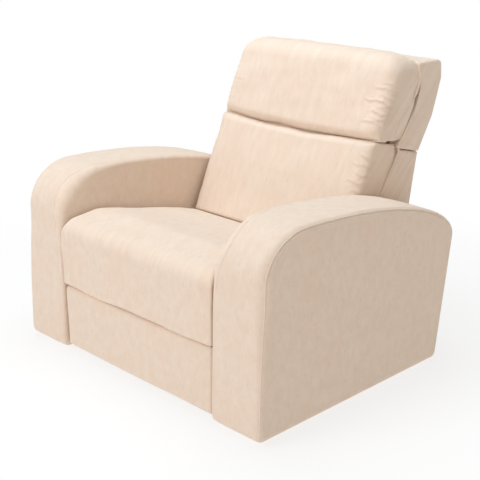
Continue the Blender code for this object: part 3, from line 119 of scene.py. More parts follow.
# Side profiles of the padded pieces: (y, z, corner radius)
SEAT_CORNERS = (
    (-0.006, 0.2315, 0.012),
    (0.070, 0.2315, 0.012),
    (0.084, 0.3545, 0.0),
    (0.606, 0.2550, 0.020),
    (0.606, 0.356, 0.026),
    (0.130, 0.452, 0.170),
    (-0.006, 0.444, 0.048),
)
FOOTREST_CORNERS = (
    (0.003, 0.024, 0.014),
    (0.0475, 0.024, 0.006),
    (0.0475, 0.228, 0.006),
    (0.003, 0.228, 0.014),
)
LUMBAR_CORNERS = (
    (0.529, 0.3570, 0.012),
    (0.6180, 0.386, 0.008),
    (0.7530, 0.666, 0.010),
    (0.6865, 0.6985, 0.030),
)
HEAD_CORNERS = (
    (0.6840, 0.6955, 0.024),
    (0.775, 0.673, 0.010),
    (0.877, 0.933, 0.014),
    (0.784, 0.932, 0.070),
)
BACK_CORNERS = (
    (0.745, 0.180, 0.012),
    (0.8142, 0.180, 0.024),
    (0.8740, 0.4716, 0.200),
    (0.903, 0.6243, 0.004),
    (0.750, 0.660, 0.006),
    (0.624, 0.400, 0.008),
    (0.700, 0.330, 0.024),
)
HEAD_SHELL_CORNERS = (
    (0.776, 0.6558, 0.006),
    (0.9005, 0.6270, 0.004),
    (0.9620, 0.730, 0.040),
    (1.004, 0.850, 0.040),
    (0.999, 0.908, 0.020),
    (0.864, 0.908, 0.006),
)
# Roundings of the cushions' ends and the direction in which their middles swell
SEAT_END_RADIUS = 0.020
LUMBAR_END_RADIUS = 0.036
HEAD_END_RADIUS = 0.034
CUSHION_LEAN = (-0.90, 0.43)
CUSHION_STEP = 0.0065
HEAD_HALF = CUSHION_HALF + 0.003
# How far the cushions' ends wrap back over the sides of the shells, as (height, reach), and where |x| lies then
LUMBAR_WRAP = (
    (0.36, 0.0), (0.42, 0.020), (0.52, 0.034), (0.56, 0.040), (0.60, 0.047), (0.64, 0.054), (0.68, 0.034),
)
HEAD_WRAP = (
    (0.66, 0.008), (0.69, 0.022), (0.73, 0.038), (0.77, 0.050), (0.81, 0.052), (0.86, 0.036), (0.90, 0.016),
    (0.93, 0.004),
)
SIDE_WRAP_INNER = 0.3165
SIDE_WRAP_OUTER = 0.3215
WRAP_GAP = 0.0012
# The headrest's pivot, where the parting lines of the shells and of the cushions end, and the gussets' half widths
HEAD_PIVOT = np.array([0.756, 0.676])
SHELL_PARTING = (0.8985, 0.6262)
CUSHION_PARTING = (0.6850, 0.6970)
GUSSET_HALF = 0.3365
PARTING_GUSSET_HALF = 0.3335

# Cutters for the hollows of the two shells: (y, z)
BACK_POCKET = (
    (0.5926, 0.3818), (0.718, 0.336), (0.765, 0.200), (0.7979, 0.200), (0.850, 0.4716), (0.880, 0.609),
    (0.810, 0.6246), (0.810, 0.680), (0.741, 0.690),
)
HEAD_POCKET = (
    (0.757, 0.653), (0.824, 0.622), (0.824, 0.668), (0.880, 0.655), (0.936, 0.730), (0.973, 0.884),
    (0.854, 0.880), (0.838, 0.888),
)
POCKET_HALF = 0.3158
SHELL_EDGE = 0.008

# Latch cup in the right arm, measured on the frame, and how much larger than its mouth its cutter is
CUP_LOW, CUP_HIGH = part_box("latch_cup")
CUP_CORNER = 0.014
CUP_SPARE = 0.0026

# Seat crown: how far its ends fall and its middle rises, and how its front corners stand back, fill out and swell
SEAT_END_DROP = 0.004
SEAT_MIDDLE_RISE = 0.020
SEAT_CORNER_SETBACK = 0.003
SEAT_CORNER_FILL = 0.65
SEAT_CORNER_SWELL = 0.0065
# Where the lumbar cushion rests on the seat: the seat's top line there, as height at y = 0.130 and slope
REST_HEIGHT = 0.452
REST_SLOPE = -0.2017
REST_FROM = 0.500
# Crown of the head cushion, and how far the parting line sags in the middle
HEAD_CORNER_DROP = 0.024
HEAD_MIDDLE_RISE = 0.004
PARTING_SAG = 0.014

# Puckers: (height along the front line, first s, last s, strength); those of the right-hand ends are this much as deep
FAR_GATHERS = 0.25
HEAD_PUCKERS = (
    (0.176, -0.040, 0.040, 0.5), (0.158, -0.064, 0.048, 0.8), (0.137, -0.040, 0.056, 0.7),
    (0.116, -0.088, 0.060, 1.0), (0.099, -0.036, 0.052, 0.8), (0.082, -0.060, 0.054, 0.9),
    (0.063, -0.044, 0.048, 0.7), (0.047, -0.074, 0.046, 0.8), (0.030, -0.034, 0.040, 0.6),
)
LUMBAR_PUCKERS = (
    (0.318, -0.046, 0.050, 0.8), (0.290, -0.060, 0.052, 0.7), (0.262, -0.044, 0.050, 0.9),
    (0.236, -0.066, 0.048, 0.7), (0.208, -0.044, 0.046, 0.8), (0.176, -0.056, 0.040, 0.6),
)

# Colours of the cloth and its threads
LINEN_TONE = (0.770, 0.622, 0.508)
LINEN_PALE = (0.830, 0.700, 0.590)
LINEN_WARM = (0.800, 0.600, 0.475)
THREAD_TONE = (0.630, 0.480, 0.370)
STITCH_TONE = (0.860, 0.760, 0.660)
SLUB_BUMP = 0.0011

# Surround, lamps as (name, place, size, watts, colour) and the camera
AMBIENT = 0.36
AMBIENT_COLOUR = (1.0, 0.915, 0.80, 1.0)
LAMP_TARGET = (0.0, 0.0, 0.45)
LAMPS = (
    ("key", (-0.9, -4.3, 2.9), 2.8, 104.0, (0.985, 0.985, 1.0)),
    ("fill", (3.4, -1.4, 0.9), 2.4, 12.0, (1.0, 0.845, 0.65)),
    ("above", (-0.2, 0.1, 3.4), 2.6, 71.0, (0.80, 0.91, 1.0)),
)
FLOOR_HALF = 12.0
LENS = 76.5
LENS_SHIFT = 0.00625
EYE = (2.191, FRONT_Y - 1.714, 1.387)
EYE_AZIMUTH = math.radians(45.6)
EYE_PITCH = math.radians(18.55)


def unit(vectors):
    """Each vector divided by its length."""
    return vectors / np.maximum(np.linalg.norm(vectors, axis=-1, keepdims=True), 1e-12)


def evenly(loop, count):
    """A closed loop of points walked at even steps of its own length."""
    closed = np.vstack([loop, loop[:1]])
    walked = np.concatenate([[0.0], np.cumsum(np.linalg.norm(np.diff(closed, axis=0), axis=1))])
    stops = np.linspace(0.0, walked[-1], count, endpoint=False)
    return np.column_stack([np.interp(stops, walked, closed[:, k]) for k in range(closed.shape[1])]), stops


def loop_normals(loop):
    """Outward normals of an anticlockwise loop, from the chord between each point's two neighbours."""
    chord = unit(np.roll(loop, -1, axis=0) - np.roll(loop, 1, axis=0))
    return np.column_stack([chord[:, 1], -chord[:, 0]])


def quarter_arch(centre, reach, start, end, count, roundness):
    """Superellipse arc: centre + reach * (cos^(2/p), sin^(2/p)) for angles from start to end."""
    angle = np.linspace(start, end, count)
    power = 2.0 / roundness
    across = np.sign(np.cos(angle)) * np.abs(np.cos(angle)) ** power
    return np.column_stack([centre[0] + reach[0] * across, centre[1] + reach[1] * np.abs(np.sin(angle)) ** power])


def arm_outline(count=ARM_OUTLINE_COUNT):
    """Side outline of an arm: two superellipse arcs that meet at the apex, and round lower corners."""
    low, apex, rear = ARM_LOW.z - ARM_FOOT_DROP, ARM_HIGH.z, ARM_HIGH.y - FRONT_Y
    lean = math.atan2(rear - ARM_FOOT_Y, ARM_REAR_Z - low)
    turn = np.linspace(0.0, 1.0, 12)
    shift = ARM_CORNER * math.tan((math.pi / 2 - lean) / 2)
    corners = []
    for middle, angle in ((ARM_CORNER, math.pi + turn * math.pi / 2),
                          (ARM_FOOT_Y - shift, turn * (math.pi / 2 - lean) - math.pi / 2)):
        corners.append(np.column_stack([middle + ARM_CORNER * np.cos(angle),
                                        low + ARM_CORNER + ARM_CORNER * np.sin(angle)]))
    rear_arc = quarter_arch((ARM_APEX_Y, ARM_REAR_Z), (rear - ARM_APEX_Y, apex - ARM_REAR_Z),
                            0.0, math.pi / 2, 90, ARM_REAR_POWER)
    front_arc = quarter_arch((ARM_APEX_Y, ARM_STRAIGHT_TOP), (ARM_APEX_Y, apex - ARM_STRAIGHT_TOP),
                             math.pi / 2, math.pi, 50, ARM_FRONT_POWER)
    loop = np.vstack([*corners, rear_arc, front_arc[1:]])
    below = np.clip(1 - loop[:, 1] / ARM_STRAIGHT_TOP, 0, 1)
    loop[:, 0] -= ARM_FRONT_LEAN * below * np.clip(1 - loop[:, 0] / 0.30, 0, 1)
    return evenly(loop, count)


def edge_rolls(outline):
    """Radii of an arm's edge rolls along its outline: the outer one back and across, and the inner one."""
    outer, inner = (dent(np.linalg.norm(outline - np.array(middle), axis=1), reach)
                    for middle, reach in ((OUTER_ROLL_AT, OUTER_ROLL_REACH), (INNER_ROLL_AT, INNER_ROLL_REACH)))
    back = OUTER_EDGE_RADIUS + OUTER_ROLL_BACK * outer
    across = OUTER_EDGE_RADIUS + OUTER_ROLL_ACROSS * outer
    return back, across, INNER_EDGE_RADIUS + INNER_ROLL * inner


def rounded_rings(corners, insets, step, arc_count=9):
    """Rounded outlines drawn in by each inset.

    A corner's arc keeps its centre and loses radius as the outline is drawn in; past its radius it
    stays sharp and moves along the corner's bisector.  Returns rings (inset, point, 2) and the
    outward normals.
    """
    places = np.array([corner[:2] for corner in corners])
    radius = np.array([corner[2] for corner in corners])
    insets = np.atleast_1d(np.asarray(insets, float))[:, None]
    into = unit(places - np.roll(places, 1, axis=0))
    away = unit(np.roll(places, -1, axis=0) - places)
    normal_in = np.column_stack([into[:, 1], -into[:, 0]])
    turn = np.arctan2(into[:, 0] * away[:, 1] - into[:, 1] * away[:, 0], np.sum(into * away, axis=1))
    half_cos = np.cos(turn / 2)
    start = np.arctan2(normal_in[:, 1], normal_in[:, 0])
    middle = np.column_stack([np.cos(start + turn / 2), np.sin(start + turn / 2)])
    convex = turn > 0
    depth = np.where(convex, -np.maximum(radius, insets), radius) / half_cos
    centre = places + middle * depth[..., None]
    bend = np.where(convex, np.maximum(radius - insets, 0.0), -(radius + insets))
    angles = start[:, None] + turn[:, None] * np.linspace(0.0, 1.0, arc_count)
    facing = np.stack([np.cos(angles), np.sin(angles)], axis=-1)
    arcs = centre[:, :, None, :] + facing * bend[:, :, None, None]
    rings, normals = [], []
    for index in range(len(corners)):
        following = (index + 1) % len(corners)
        first, last = arcs[:, index, -1], arcs[:, following, 0]
        count = max(2, int(np.linalg.norm(last[0] - first[0]) / step))
        share = np.linspace(0.0, 1.0, count + 1)[1:-1, None]
        side = first[:, None] * (1 - share) + last[:, None] * share
        rings += [arcs[:, index], side]
        normals += [facing[index], np.repeat(facing[index, -1:], side.shape[1], axis=0)]
    return np.concatenate(rings, axis=1), np.vstack(normals)


def laid_out(x, rings):
    """Points (ring, point, 3) from x and rings of (y, z), with y counted from the arms' front."""
    points = np.empty((*rings.shape[:2], 3))
    points[..., 0] = x
    points[..., 1] = rings[..., 0] + FRONT_Y
    points[..., 2] = rings[..., 1]
    return points


def new_piece(name, vertices, faces):
    """A smooth mesh object with these vertices and faces."""
    mesh = bpy.data.meshes.new(name)
    mesh.from_pydata(vertices.tolist(), [], faces)
    mesh.update()
    mesh.shade_smooth()
    piece = bpy.data.objects.new(name, mesh)
    bpy.context.collection.objects.link(piece)
    return piece


def grid_mesh(name, points, uv=None):
    """A closed form from rings (ring, point, 3): quads between rings, and a fan to the pole at each end.

    The rings here run towards -x with an anticlockwise outline, so its faces point inwards.
    """
    rings, count = points.shape[:2]
    poles = points[[0, -1]].mean(axis=1)
    row = np.arange(rings - 1)[:, None] * count
    here = np.arange(count)[None, :]
    following = (here + 1) % count
    quads = np.stack([row + here, row + following, row + count + following, row + count + here], axis=-1)
    first = np.column_stack([following[0], here[0], np.full(count, rings * count)])
    last = np.column_stack([here[0], following[0], np.full(count, rings * count + 1)])
    last[:, :2] += (rings - 1) * count
    faces = quads.reshape(-1, 4).tolist() + first.tolist() + last.tolist()
    piece = new_piece(name, np.vstack([points.reshape(-1, 3), poles]), faces)
    if uv is not None:
        fill_uv(piece.data, uv, rings, count)
    return piece


def fill_uv(mesh, uv, rings, count):
    """UV in metres of cloth: uv holds (ring, point + 1, 2), so that the last column closes the loop."""
    layer = mesh.uv_layers.new(name="cloth")
    row = np.arange(rings - 1)[:, None]
    here = np.arange(count)[None, :]
    around = np.stack([uv[row, here], uv[row, here + 1], uv[row + 1, here + 1], uv[row + 1, here]], axis=2)
    middle = uv[[0, -1]].mean(axis=1)
    first = np.stack([uv[0, 1:], uv[0, :-1], np.repeat(middle[:1], count, axis=0)], axis=1)
    last = np.stack([uv[-1, :-1], uv[-1, 1:], np.repeat(middle[1:], count, axis=0)], axis=1)
    flat = np.concatenate([around.reshape(-1, 2), first.reshape(-1, 2), last.reshape(-1, 2)])
    layer.data.foreach_set("uv", flat.astype(np.float32).ravel())


def soft_waves(places, seed, wavelength, height):
    """Gentle unevenness of stuffing: the sum of ten sine waves with seeded directions and phases."""
    rng = np.random.default_rng(seed)
    directions = unit(rng.normal(size=(10, 3)))
    rates = 2 * math.pi / (wavelength * rng.uniform(0.7, 1.6, 10))
    phases = rng.uniform(0, 2 * math.pi, 10)
    return height * np.sin(places @ directions.T * rates + phases).mean(axis=-1) * 2.2


def dent(distance, half_width):
    """A groove's cross-section: 1 at its middle, falling off as a bell over its half width."""
    return np.exp(-(distance / half_width) ** 2)


def mirrored(points, sign):
    """Rings for one side of the chair; for the right side x is negated and the rings run backwards."""
    placed = points * np.array([sign, 1.0, 1.0])
    return placed if sign > 0 else placed[::-1]


def arm_cover(side, sign):
    """The upholstery of one arm.

    The arm's outline is carried across its width: the section starts at the middle of the outer face,
    runs out to the outer edge, round its elliptic roll, over the crowned band, round the inner roll
    and back to the middle of the inner face.  Faces swell by pillow * (1 - share^4); each seam is a
    bell sunk into the cloth.
    """
    outline, walked = arm_outline()
    normals = loop_normals(outline)
    back, aside, roll = edge_rolls(outline)
    face_share = np.concatenate([np.linspace(0.02, 0.9, 12), np.linspace(0.92, 1.0, 5)])
    flat = np.linspace(0.006, 0.0, 6)
    turn = np.concatenate([np.linspace(0.05, 0.24, 4), np.linspace(0.27, 0.61, 23),
                           np.linspace(0.66, math.pi / 2, 12)])
    arc = np.linspace(0.0, math.pi / 2, 11)[1:]
    edge = np.linspace(0.0, 0.012, 11)[1:]
    middle = np.linspace(0.0, 1.0, 17)[1:-1]
    outer_start = ARM_OUTER_X - aside
    inner_start = ARM_INNER_X + roll
    inset = np.concatenate([
        np.repeat([flat[0] + back], len(face_share), axis=0),
        flat[1:, None] + back,
        np.outer(1 - np.sin(turn), back),
        np.zeros((2 * len(edge) + len(middle), len(outline))),
        np.outer(1 - np.cos(arc), roll),
        flat[::-1][1:, None] + roll,
        np.repeat([flat[0] + roll], len(face_share) - 1, axis=0),
    ])
    x = np.concatenate([
        np.full((len(face_share) + len(flat) - 1, len(outline)), ARM_OUTER_X),
        ARM_OUTER_X - np.outer(1 - np.cos(turn), aside),
        outer_start - edge[:, None],
        np.outer(1 - middle, outer_start - edge[-1]) + np.outer(middle, inner_start + edge[-1]),
        edge[::-1][:, None] + inner_start,
        ARM_INNER_X + np.outer(1 - np.sin(arc), roll),
        np.full((len(flat) + len(face_share) - 2, len(outline)), ARM_INNER_X),
    ])
    share = np.concatenate([face_share, np.ones(len(inset) - 2 * len(face_share) + 1), face_share[::-1][1:]])
    rings = outline[None] - normals[None] * inset[..., None]
    centre = outline.mean(axis=0)
    rings = centre + (rings - centre) * share[:, None, None]
    outer_side = np.arange(len(inset)) < len(inset) / 2
    # The band crowns between its edges, and both seams fade down the straight front
    on_band = inset == 0
    along = np.clip((outer_start - x) / (outer_start - inner_start), 0, 1)
    crown = BAND_CROWN * (1 - (2 * along - 1) ** 2) * on_band
    fade = np.clip((outline[:, 1] - 0.30) / 0.16, 0.3, 1.0)
    inner_seam = INNER_SEAM_DEPTH * dent(x - inner_start - INNER_SEAM_AT, SEAM_HALF_WIDTH) * fade
    rings += normals[None] * (crown - inner_seam * on_band)[..., None]
    first = len(face_share) + len(flat) - 1
    on_roll = slice(first, first + len(turn))
    sideways, outwards, radius = roll_normal(turn[:, None], back, aside)
    outer_seam = OUTER_SEAM_DEPTH * dent((turn[:, None] - OUTER_SEAM_TURN) * radius, SEAM_HALF_WIDTH) * fade
    x[on_roll] -= outer_seam * sideways
    rings[on_roll] -= normals[None] * (outer_seam * outwards)[..., None]
    pillow = np.where(outer_side, *FACE_PILLOW) * (1 - share ** 4)
    points = laid_out(x + pillow[:, None], rings)
    points += soft_face(points, normals, share, outer_side)
    # Cloth runs down the faces, and along the outline on the band
    strip = np.hypot(np.diff(inset[:, 0]), np.diff(x[:, 0]))
    across = np.cumsum(np.concatenate([[0.0], strip]))
    closed = np.concatenate([walked, [walked[-1] * 2 - walked[-2]]])
    uv = np.empty((len(inset), len(outline) + 1, 2))
    loop = np.concatenate([rings, rings[:, :1]], axis=1)
    on_face = share < 1.0
    uv[..., 0] = np.where(on_face[:, None], loop[..., 0], 1.0 + across[:, None])
    uv[..., 1] = np.where(on_face[:, None], loop[..., 1], closed[None, :])
    placed = mirrored(points, sign)
    piece = grid_mesh(f"{side}_arm_cover", placed, uv if sign > 0 else uv[::-1])
    return hang(piece, "base", "fabric_arms", f"{side}_arm_band", f"{side}_inner_panel", f"{side}_outer_panel")


def roll_normal(turn, back, aside):
    """Normal of an elliptic roll as its parts sideways and along the outline's normal, and its radius there."""
    sideways, outwards = np.cos(turn) / aside, np.sin(turn) / back
    length = np.hypot(sideways, outwards)
    return sideways / length, outwards / length, np.hypot(aside * np.sin(turn), back * np.cos(turn))


def arm_topstitch(side, sign):
    """The topstitching beside an arm's outer seam.

    A thread carried along the roll on the band's side of the seam, half sunk in the cloth; its radius
    is STITCH_RADIUS * sqrt(|sin(pi s / pitch)|) over a thin core, so that each pitch is one stitch.
    """
    length = arm_outline()[1][-1]
    stitches = int(length / STITCH_PITCH)
    outline, _ = arm_outline(stitches * POINTS_A_STITCH)
    normals = loop_normals(outline)
    angle = np.linspace(0.0, 2 * math.pi, 7)[:-1]
    beat = np.abs(np.sin(math.pi * np.arange(len(outline)) / POINTS_A_STITCH))
    radius = STITCH_RADIUS * (0.25 + 0.75 * np.sqrt(beat))[:, None]
    back, aside, _ = edge_rolls(outline)
    turn = OUTER_SEAM_TURN + STITCH_AT / roll_normal(OUTER_SEAM_TURN, back, aside)[2]
    inset = back * (1 - np.sin(turn))
    lift = radius * np.sin(angle) - inset[:, None]
    x = sign * (ARM_OUTER_X - (aside * (1 - np.cos(turn)))[:, None] + radius * np.cos(angle))
    points = laid_out(x, outline[:, None] + normals[:, None] * lift[..., None])
    piece = ring_mesh(f"{side}_arm_topstitch", points if sign < 0 else points[::-1])
    return hang(piece, "base", "fabric_arms")


def ring_mesh(name, points):
    """A closed tube from sections (section, point, 3) whose last section joins the first."""
    rings, count = points.shape[:2]
    row = np.arange(rings)[:, None] * count
    after = (row + count) % (rings * count)
    here = np.arange(count)[None, :]
    following = (here + 1) % count
    quads = np.stack([row + here, after + here, after + following, row + following], axis=-1)
    return new_piece(name, points.reshape(-1, 3), quads.reshape(-1, 4).tolist())


def hang(piece, body, slot, *nodes):
    """Let a piece ride its body in the place of CAD solids; slot is not used."""
    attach(piece, body)
    if nodes:
        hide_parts(*nodes)
    return piece


def soft_face(points, normals, share, outer_side):
    """Slight waviness of the padding: 1.2 mm along x on the faces and 0.8 mm outwards on the band."""
    faces = soft_waves(points, 11, 0.16, 0.0012) * (share[:, None] < 1.0)
    band = soft_waves(points, 12, 0.13, 0.0008) * (share[:, None] == 1.0)
    moved = np.zeros_like(points)
    moved[..., 0] = faces * np.where(outer_side, 1.0, 0.6)[:, None] * (1 - share[:, None] ** 6)
    moved[..., 1:] = normals[None] * band[..., None]
    return moved


def padded_rings(corners, half_width, end_radius, crown, crown_towards, step, bulge=0.005):
    """Rings of a cushion that lies along x.

    The side outline is drawn in round both ends by end_radius * (1 - sin a) while x falls back by
    end_radius * (1 - cos a); the flat of each end then closes on a pole and swells by bulge.  The
    middle swells along crown_towards by crown * (1 - (x / half width)^2), where the outline faces
    that way.  Rings stand closer over the outer 70 mm.
    """
    arc = np.linspace(0.0, math.pi / 2, 11)
    ends = half_width - end_radius + end_radius * np.cos(arc)
    fine = np.linspace(half_width - end_radius, half_width - end_radius - 0.070, 15)[1:]
    count = max(8, int(2 * fine[-1] / (step * 1.8)))
    middle = np.linspace(fine[-1], -fine[-1], count + 1)[1:-1]
    inner = np.concatenate([fine, middle, -fine[::-1]])
    x = np.concatenate([ends, inner, -ends[::-1]])
    drawn_in = end_radius * (1 - np.sin(arc))
    inset = np.concatenate([drawn_in, np.zeros(len(inner)), drawn_in[::-1]])
    rings, normals = rounded_rings(corners, inset, step)
    cap = np.linspace(0.03, 1.0, 13)[:-1]
    centre = rings[0].mean(axis=0)
    closing = centre + (rings[0] - centre) * cap[:, None, None]
    rings = np.concatenate([closing, rings, closing[::-1]])
    cap_x = half_width + bulge * (1 - cap ** 3)
    x = np.concatenate([cap_x, x, -cap_x[::-1]])
    towards = unit(np.array(crown_towards, float))
    facing = np.maximum(normals @ towards, 0.0)
    swell = crown * np.clip(1 - (x / half_width) ** 2, 0.0, 1.0)
    rings += swell[:, None, None] * facing[None, :, None] * towards
    return laid_out(x[:, None], rings)


def fill_with_air(piece, held):
    """Cloth simulation of stuffing: air pressure works on the cover, and no point moves more than AIR_CAP.

    held gives each point's share of being held by what the cushion rests on.
    """
    rest = positions(piece)
    group = piece.vertex_groups.new(name="held")
    levels = np.round(np.clip(held, 0, 1) * 4).astype(int)
    for level in range(1, 5):
        chosen = np.flatnonzero(levels == level)
        if len(chosen):
            group.add(chosen.tolist(), level / 4, "REPLACE")
    cloth = piece.modifiers.new("filling", "CLOTH")
    for name, value in CLOTH_SETTINGS.items():
        setattr(cloth.settings, name, value)
    cloth.settings.effector_weights.gravity = 0.0
    cloth.collision_settings.use_collision = False
    cloth.point_cache.frame_start = 1
    cloth.point_cache.frame_end = AIR_FRAMES
    scene = bpy.context.scene
    for number in range(1, AIR_FRAMES + 1):
        scene.frame_set(number)
    graph = bpy.context.evaluated_depsgraph_get()
    swollen = positions(piece.evaluated_get(graph))
    piece.modifiers.remove(cloth)
    scene.frame_set(1)
    moved = swollen - rest
    length = np.linalg.norm(moved, axis=1, keepdims=True)
    moved *= np.minimum(1.0, AIR_CAP / np.maximum(length, 1e-9))
    place(piece, rest + moved)
    piece.vertex_groups.clear()


def positions(piece):
    """Vertex places of a mesh object as an array."""
    flat = np.empty(len(piece.data.vertices) * 3, np.float32)
    piece.data.vertices.foreach_get("co", flat)
    return flat.reshape(-1, 3).astype(float)


def place(piece, places):
    """Move a mesh object's vertices to new places."""
    piece.data.vertices.foreach_set("co", places.astype(np.float32).ravel())
    piece.data.update()


def vertex_normals(piece):
    """Vertex normals of a mesh object as an array."""
    flat = np.empty(len(piece.data.vertices) * 3, np.float32)
    piece.data.vertex_normals.foreach_get("vector", flat)
    return flat.reshape(-1, 3).astype(float)


def from_line(foot, top, places):
    """How far places lie behind the line from foot to top, both (y, z), and how far they are up along it."""
    foot, top = (np.array([point[0] + FRONT_Y, point[1]]) for point in (foot, top))
    along = unit(top - foot)
    offset = places[:, 1:] - foot
    return offset @ np.array([along[1], -along[0]]), offset @ along


def gathers(places, corners, half_width, levels, depth, seed):
    """Puckers where the front of a cover is gathered round an end, with the seam they end at.

    s runs from the front over the end: minus the distance from the end on the front, then the depth
    behind the front line.  A level is (height along the front, first s, last s, strength); its fold
    is a bell across that wanders with s, with a wider bell of the other sense below it.
    """
    rng = np.random.default_rng(seed)
    behind, height = from_line(corners[0], corners[3], places)
    near_end = half_width - np.abs(places[:, 0])
    s = np.clip(behind, 0, None) - np.clip(near_end, 0, None)
    relief = np.zeros(len(places))
    for level, first, last, strength in levels:
        phase = rng.uniform(0, 6.28, 2)
        rate = rng.uniform(70, 120)
        wander = 0.0030 * np.sin(s * rate + phase[0]) + 0.0012 * np.sin(s * rate * 2.3 + phase[1])
        slope = rng.uniform(-0.14, 0.04)
        width = rng.uniform(0.0030, 0.0046)
        offset = height - level - wander - slope * s
        along = np.clip((s - first) / 0.030, 0, 1) * np.clip((last - s) / 0.018, 0, 1)
        along = along * along * (3 - 2 * along)
        relief += along * strength * depth * (-dent(offset, width) + 0.55 * dent(offset + 2.0 * width, width * 1.5))
    return relief * np.where(places[:, 0] > 0, 1.0, FAR_GATHERS)


def end_seam(places, corners, half_width, at, depth):
    """The sewn line that goes round a cushion's end, at a set depth behind its front line."""
    behind, _ = from_line(corners[0], corners[3], places)
    near = np.clip((np.abs(places[:, 0]) - half_width + 0.020) / 0.010, 0, 1)
    return -depth * near * dent(behind - at, 0.0026)


def sag_edge(points, half_width, low, high):
    """Let one long edge sink in the middle of the chair: z falls by PARTING_SAG * (1 - share^2), fading out
    from low to high."""
    share = np.clip(np.abs(points[..., 0]) / half_width, 0, 1)
    near = np.clip((points[..., 2] - high) / (low - high), 0, 1)
    points[..., 2] -= PARTING_SAG * (1 - share ** 2) * near


def end_inset(places, half_width, end_radius):
    """How far a cushion's outline is drawn in by the rounding of its ends at each place."""
    into_arc = np.clip((np.abs(places[:, 0]) - half_width + end_radius) / end_radius, 0, 1)
    return end_radius * (1 - np.sqrt(1 - into_arc ** 2))


def square_ends(piece, half_width, end_radius, foot, top):
    """Give back part of an end's rounding below the foot height and above the top height.

    foot and top are (height, share given back).
    """
    at = positions(piece)
    inset = end_inset(at, half_width, end_radius)
    at[:, 2] -= foot[1] * inset * np.clip((foot[0] - at[:, 2]) / 0.03, 0, 1)
    at[:, 2] += top[1] * inset * np.clip((at[:, 2] - top[0]) / 0.03, 0, 1)
    place(piece, at)


def wrap_sides(piece, line, half_width, end_radius, wrap, side):
    """Carry the part beyond SIDE_WRAP_INNER back along y by the wrap's reach at each height.

    line is (foot, top).  With side -1 it is a cushion's rear line, and with side 1 a shell's front
    line, which stands back by WRAP_GAP more.  The end's rounding there is taken back, so that both
    sides of the seam stay square.
    """
    at = positions(piece)
    share = np.clip((np.abs(at[:, 0]) - SIDE_WRAP_INNER) / (SIDE_WRAP_OUTER - SIDE_WRAP_INNER), 0, 1)
    inset = end_inset(at, half_width, end_radius)
    heights, reaches = np.array(wrap).T
    reach = np.interp(at[:, 2], heights, reaches)
    distance = side * from_line(*line, at)[0] - inset
    near = np.clip(1 - distance / 0.045, 0, 1)
    near = near * near * (3 - 2 * near)
    at[:, 1] += share * near * (reach + inset if side < 0 else reach + WRAP_GAP - 0.9 * inset)
    place(piece, at)


def back_places(corners, places):
    """1 on the rear side of a cushion's outline, falling to 0 at HELD_DEPTH before it: how it is held."""
    return np.clip(1 + from_line(corners[1], corners[2], places)[0] / HELD_DEPTH, 0, 1)


def rest_line(behind):
    """Height of the line on which the lumbar cushion rests, at a distance behind the arms' front."""
    return REST_HEIGHT + REST_SLOPE * (behind - 0.130)


def seat_cover():
    """The seat cushion: a crowned top, a full waterfall front, and flat where the lumbar cushion rests on it."""
    half = SEAT_HALF - 0.0015
    points = padded_rings(SEAT_CORNERS, half, SEAT_END_RADIUS, 0.0, (-0.25, 1.0), CUSHION_STEP, 0.001)
    across = np.clip(np.abs(points[..., 0]) / half, 0, 1)
    height = np.clip((points[..., 2] - 0.30) / 0.13, 0, 1)
    points[..., 2] -= SEAT_END_DROP * across ** 5 * height
    behind = points[..., 1] - FRONT_Y
    along = np.clip(behind / 0.12, 0, 1) * np.clip((0.60 - behind) / 0.20, 0, 1)
    upper = np.clip((points[..., 2] - 0.33) / 0.05, 0, 1)
    points[..., 2] += SEAT_MIDDLE_RISE * (1 - 0.55 * across ** 4) * along * upper
    points[..., 1] += SEAT_CORNER_SETBACK * across ** 6 * np.clip(1 - behind / 0.08, 0, 1)
    piece = grid_mesh("seat_cover", points)
    places = positions(piece)
    held = np.clip((0.372 - 0.16 * (places[:, 1] - FRONT_Y) - places[:, 2]) / 0.02, 0, 1)
    held *= places[:, 1] > FRONT_Y + 0.080
    ends = np.clip((np.abs(places[:, 0]) - SEAT_HALF + 0.004) / 0.003, 0, 1)
    fill_with_air(piece, np.maximum(held, ends))
    square_ends(piece, half, SEAT_END_RADIUS, (0.262, 0.8), (0.60, 0.0))
    relief(piece, lambda at: soft_waves(at, 21, 0.19, 0.0022) + soft_waves(at, 22, 0.07, 0.0007))
    at = positions(piece)
    at[:, 0] = np.clip(at[:, 0], -SEAT_HALF - 0.0005, SEAT_HALF + 0.0005)
    behind = at[:, 1] - FRONT_Y
    free = 0.034 * np.clip((REST_FROM + 0.04 - behind) / 0.16, 0, 1)
    at[:, 2] = np.minimum(at[:, 2], rest_line(behind) + 0.0015 + free)
    # The front corners are fuller than the ends' rounding and swell a little over the arms' inner rolls
    at[:, 1] -= SEAT_CORNER_FILL * end_inset(at, half, SEAT_END_RADIUS) * np.clip(1 - behind / 0.05, 0, 1)
    proud = np.clip((0.018 + FRONT_Y - at[:, 1]) / 0.020, 0, 1) * np.clip((np.abs(at[:, 0]) - 0.31) / 0.02, 0, 1)
    at[:, 0] += np.sign(at[:, 0]) * SEAT_CORNER_SWELL * proud
    place(piece, at)
    smooth = piece.modifiers.new("smooth", "SUBSURF")
    smooth.levels = smooth.render_levels = 1
    hang(piece, "seat", "fabric_seat", "seat_cushion")
    return piece


def relief(piece, height):
    """Move a piece's points along their normals by height(places)."""
    at = positions(piece)
    place(piece, at + vertex_normals(piece) * height(at)[:, None])


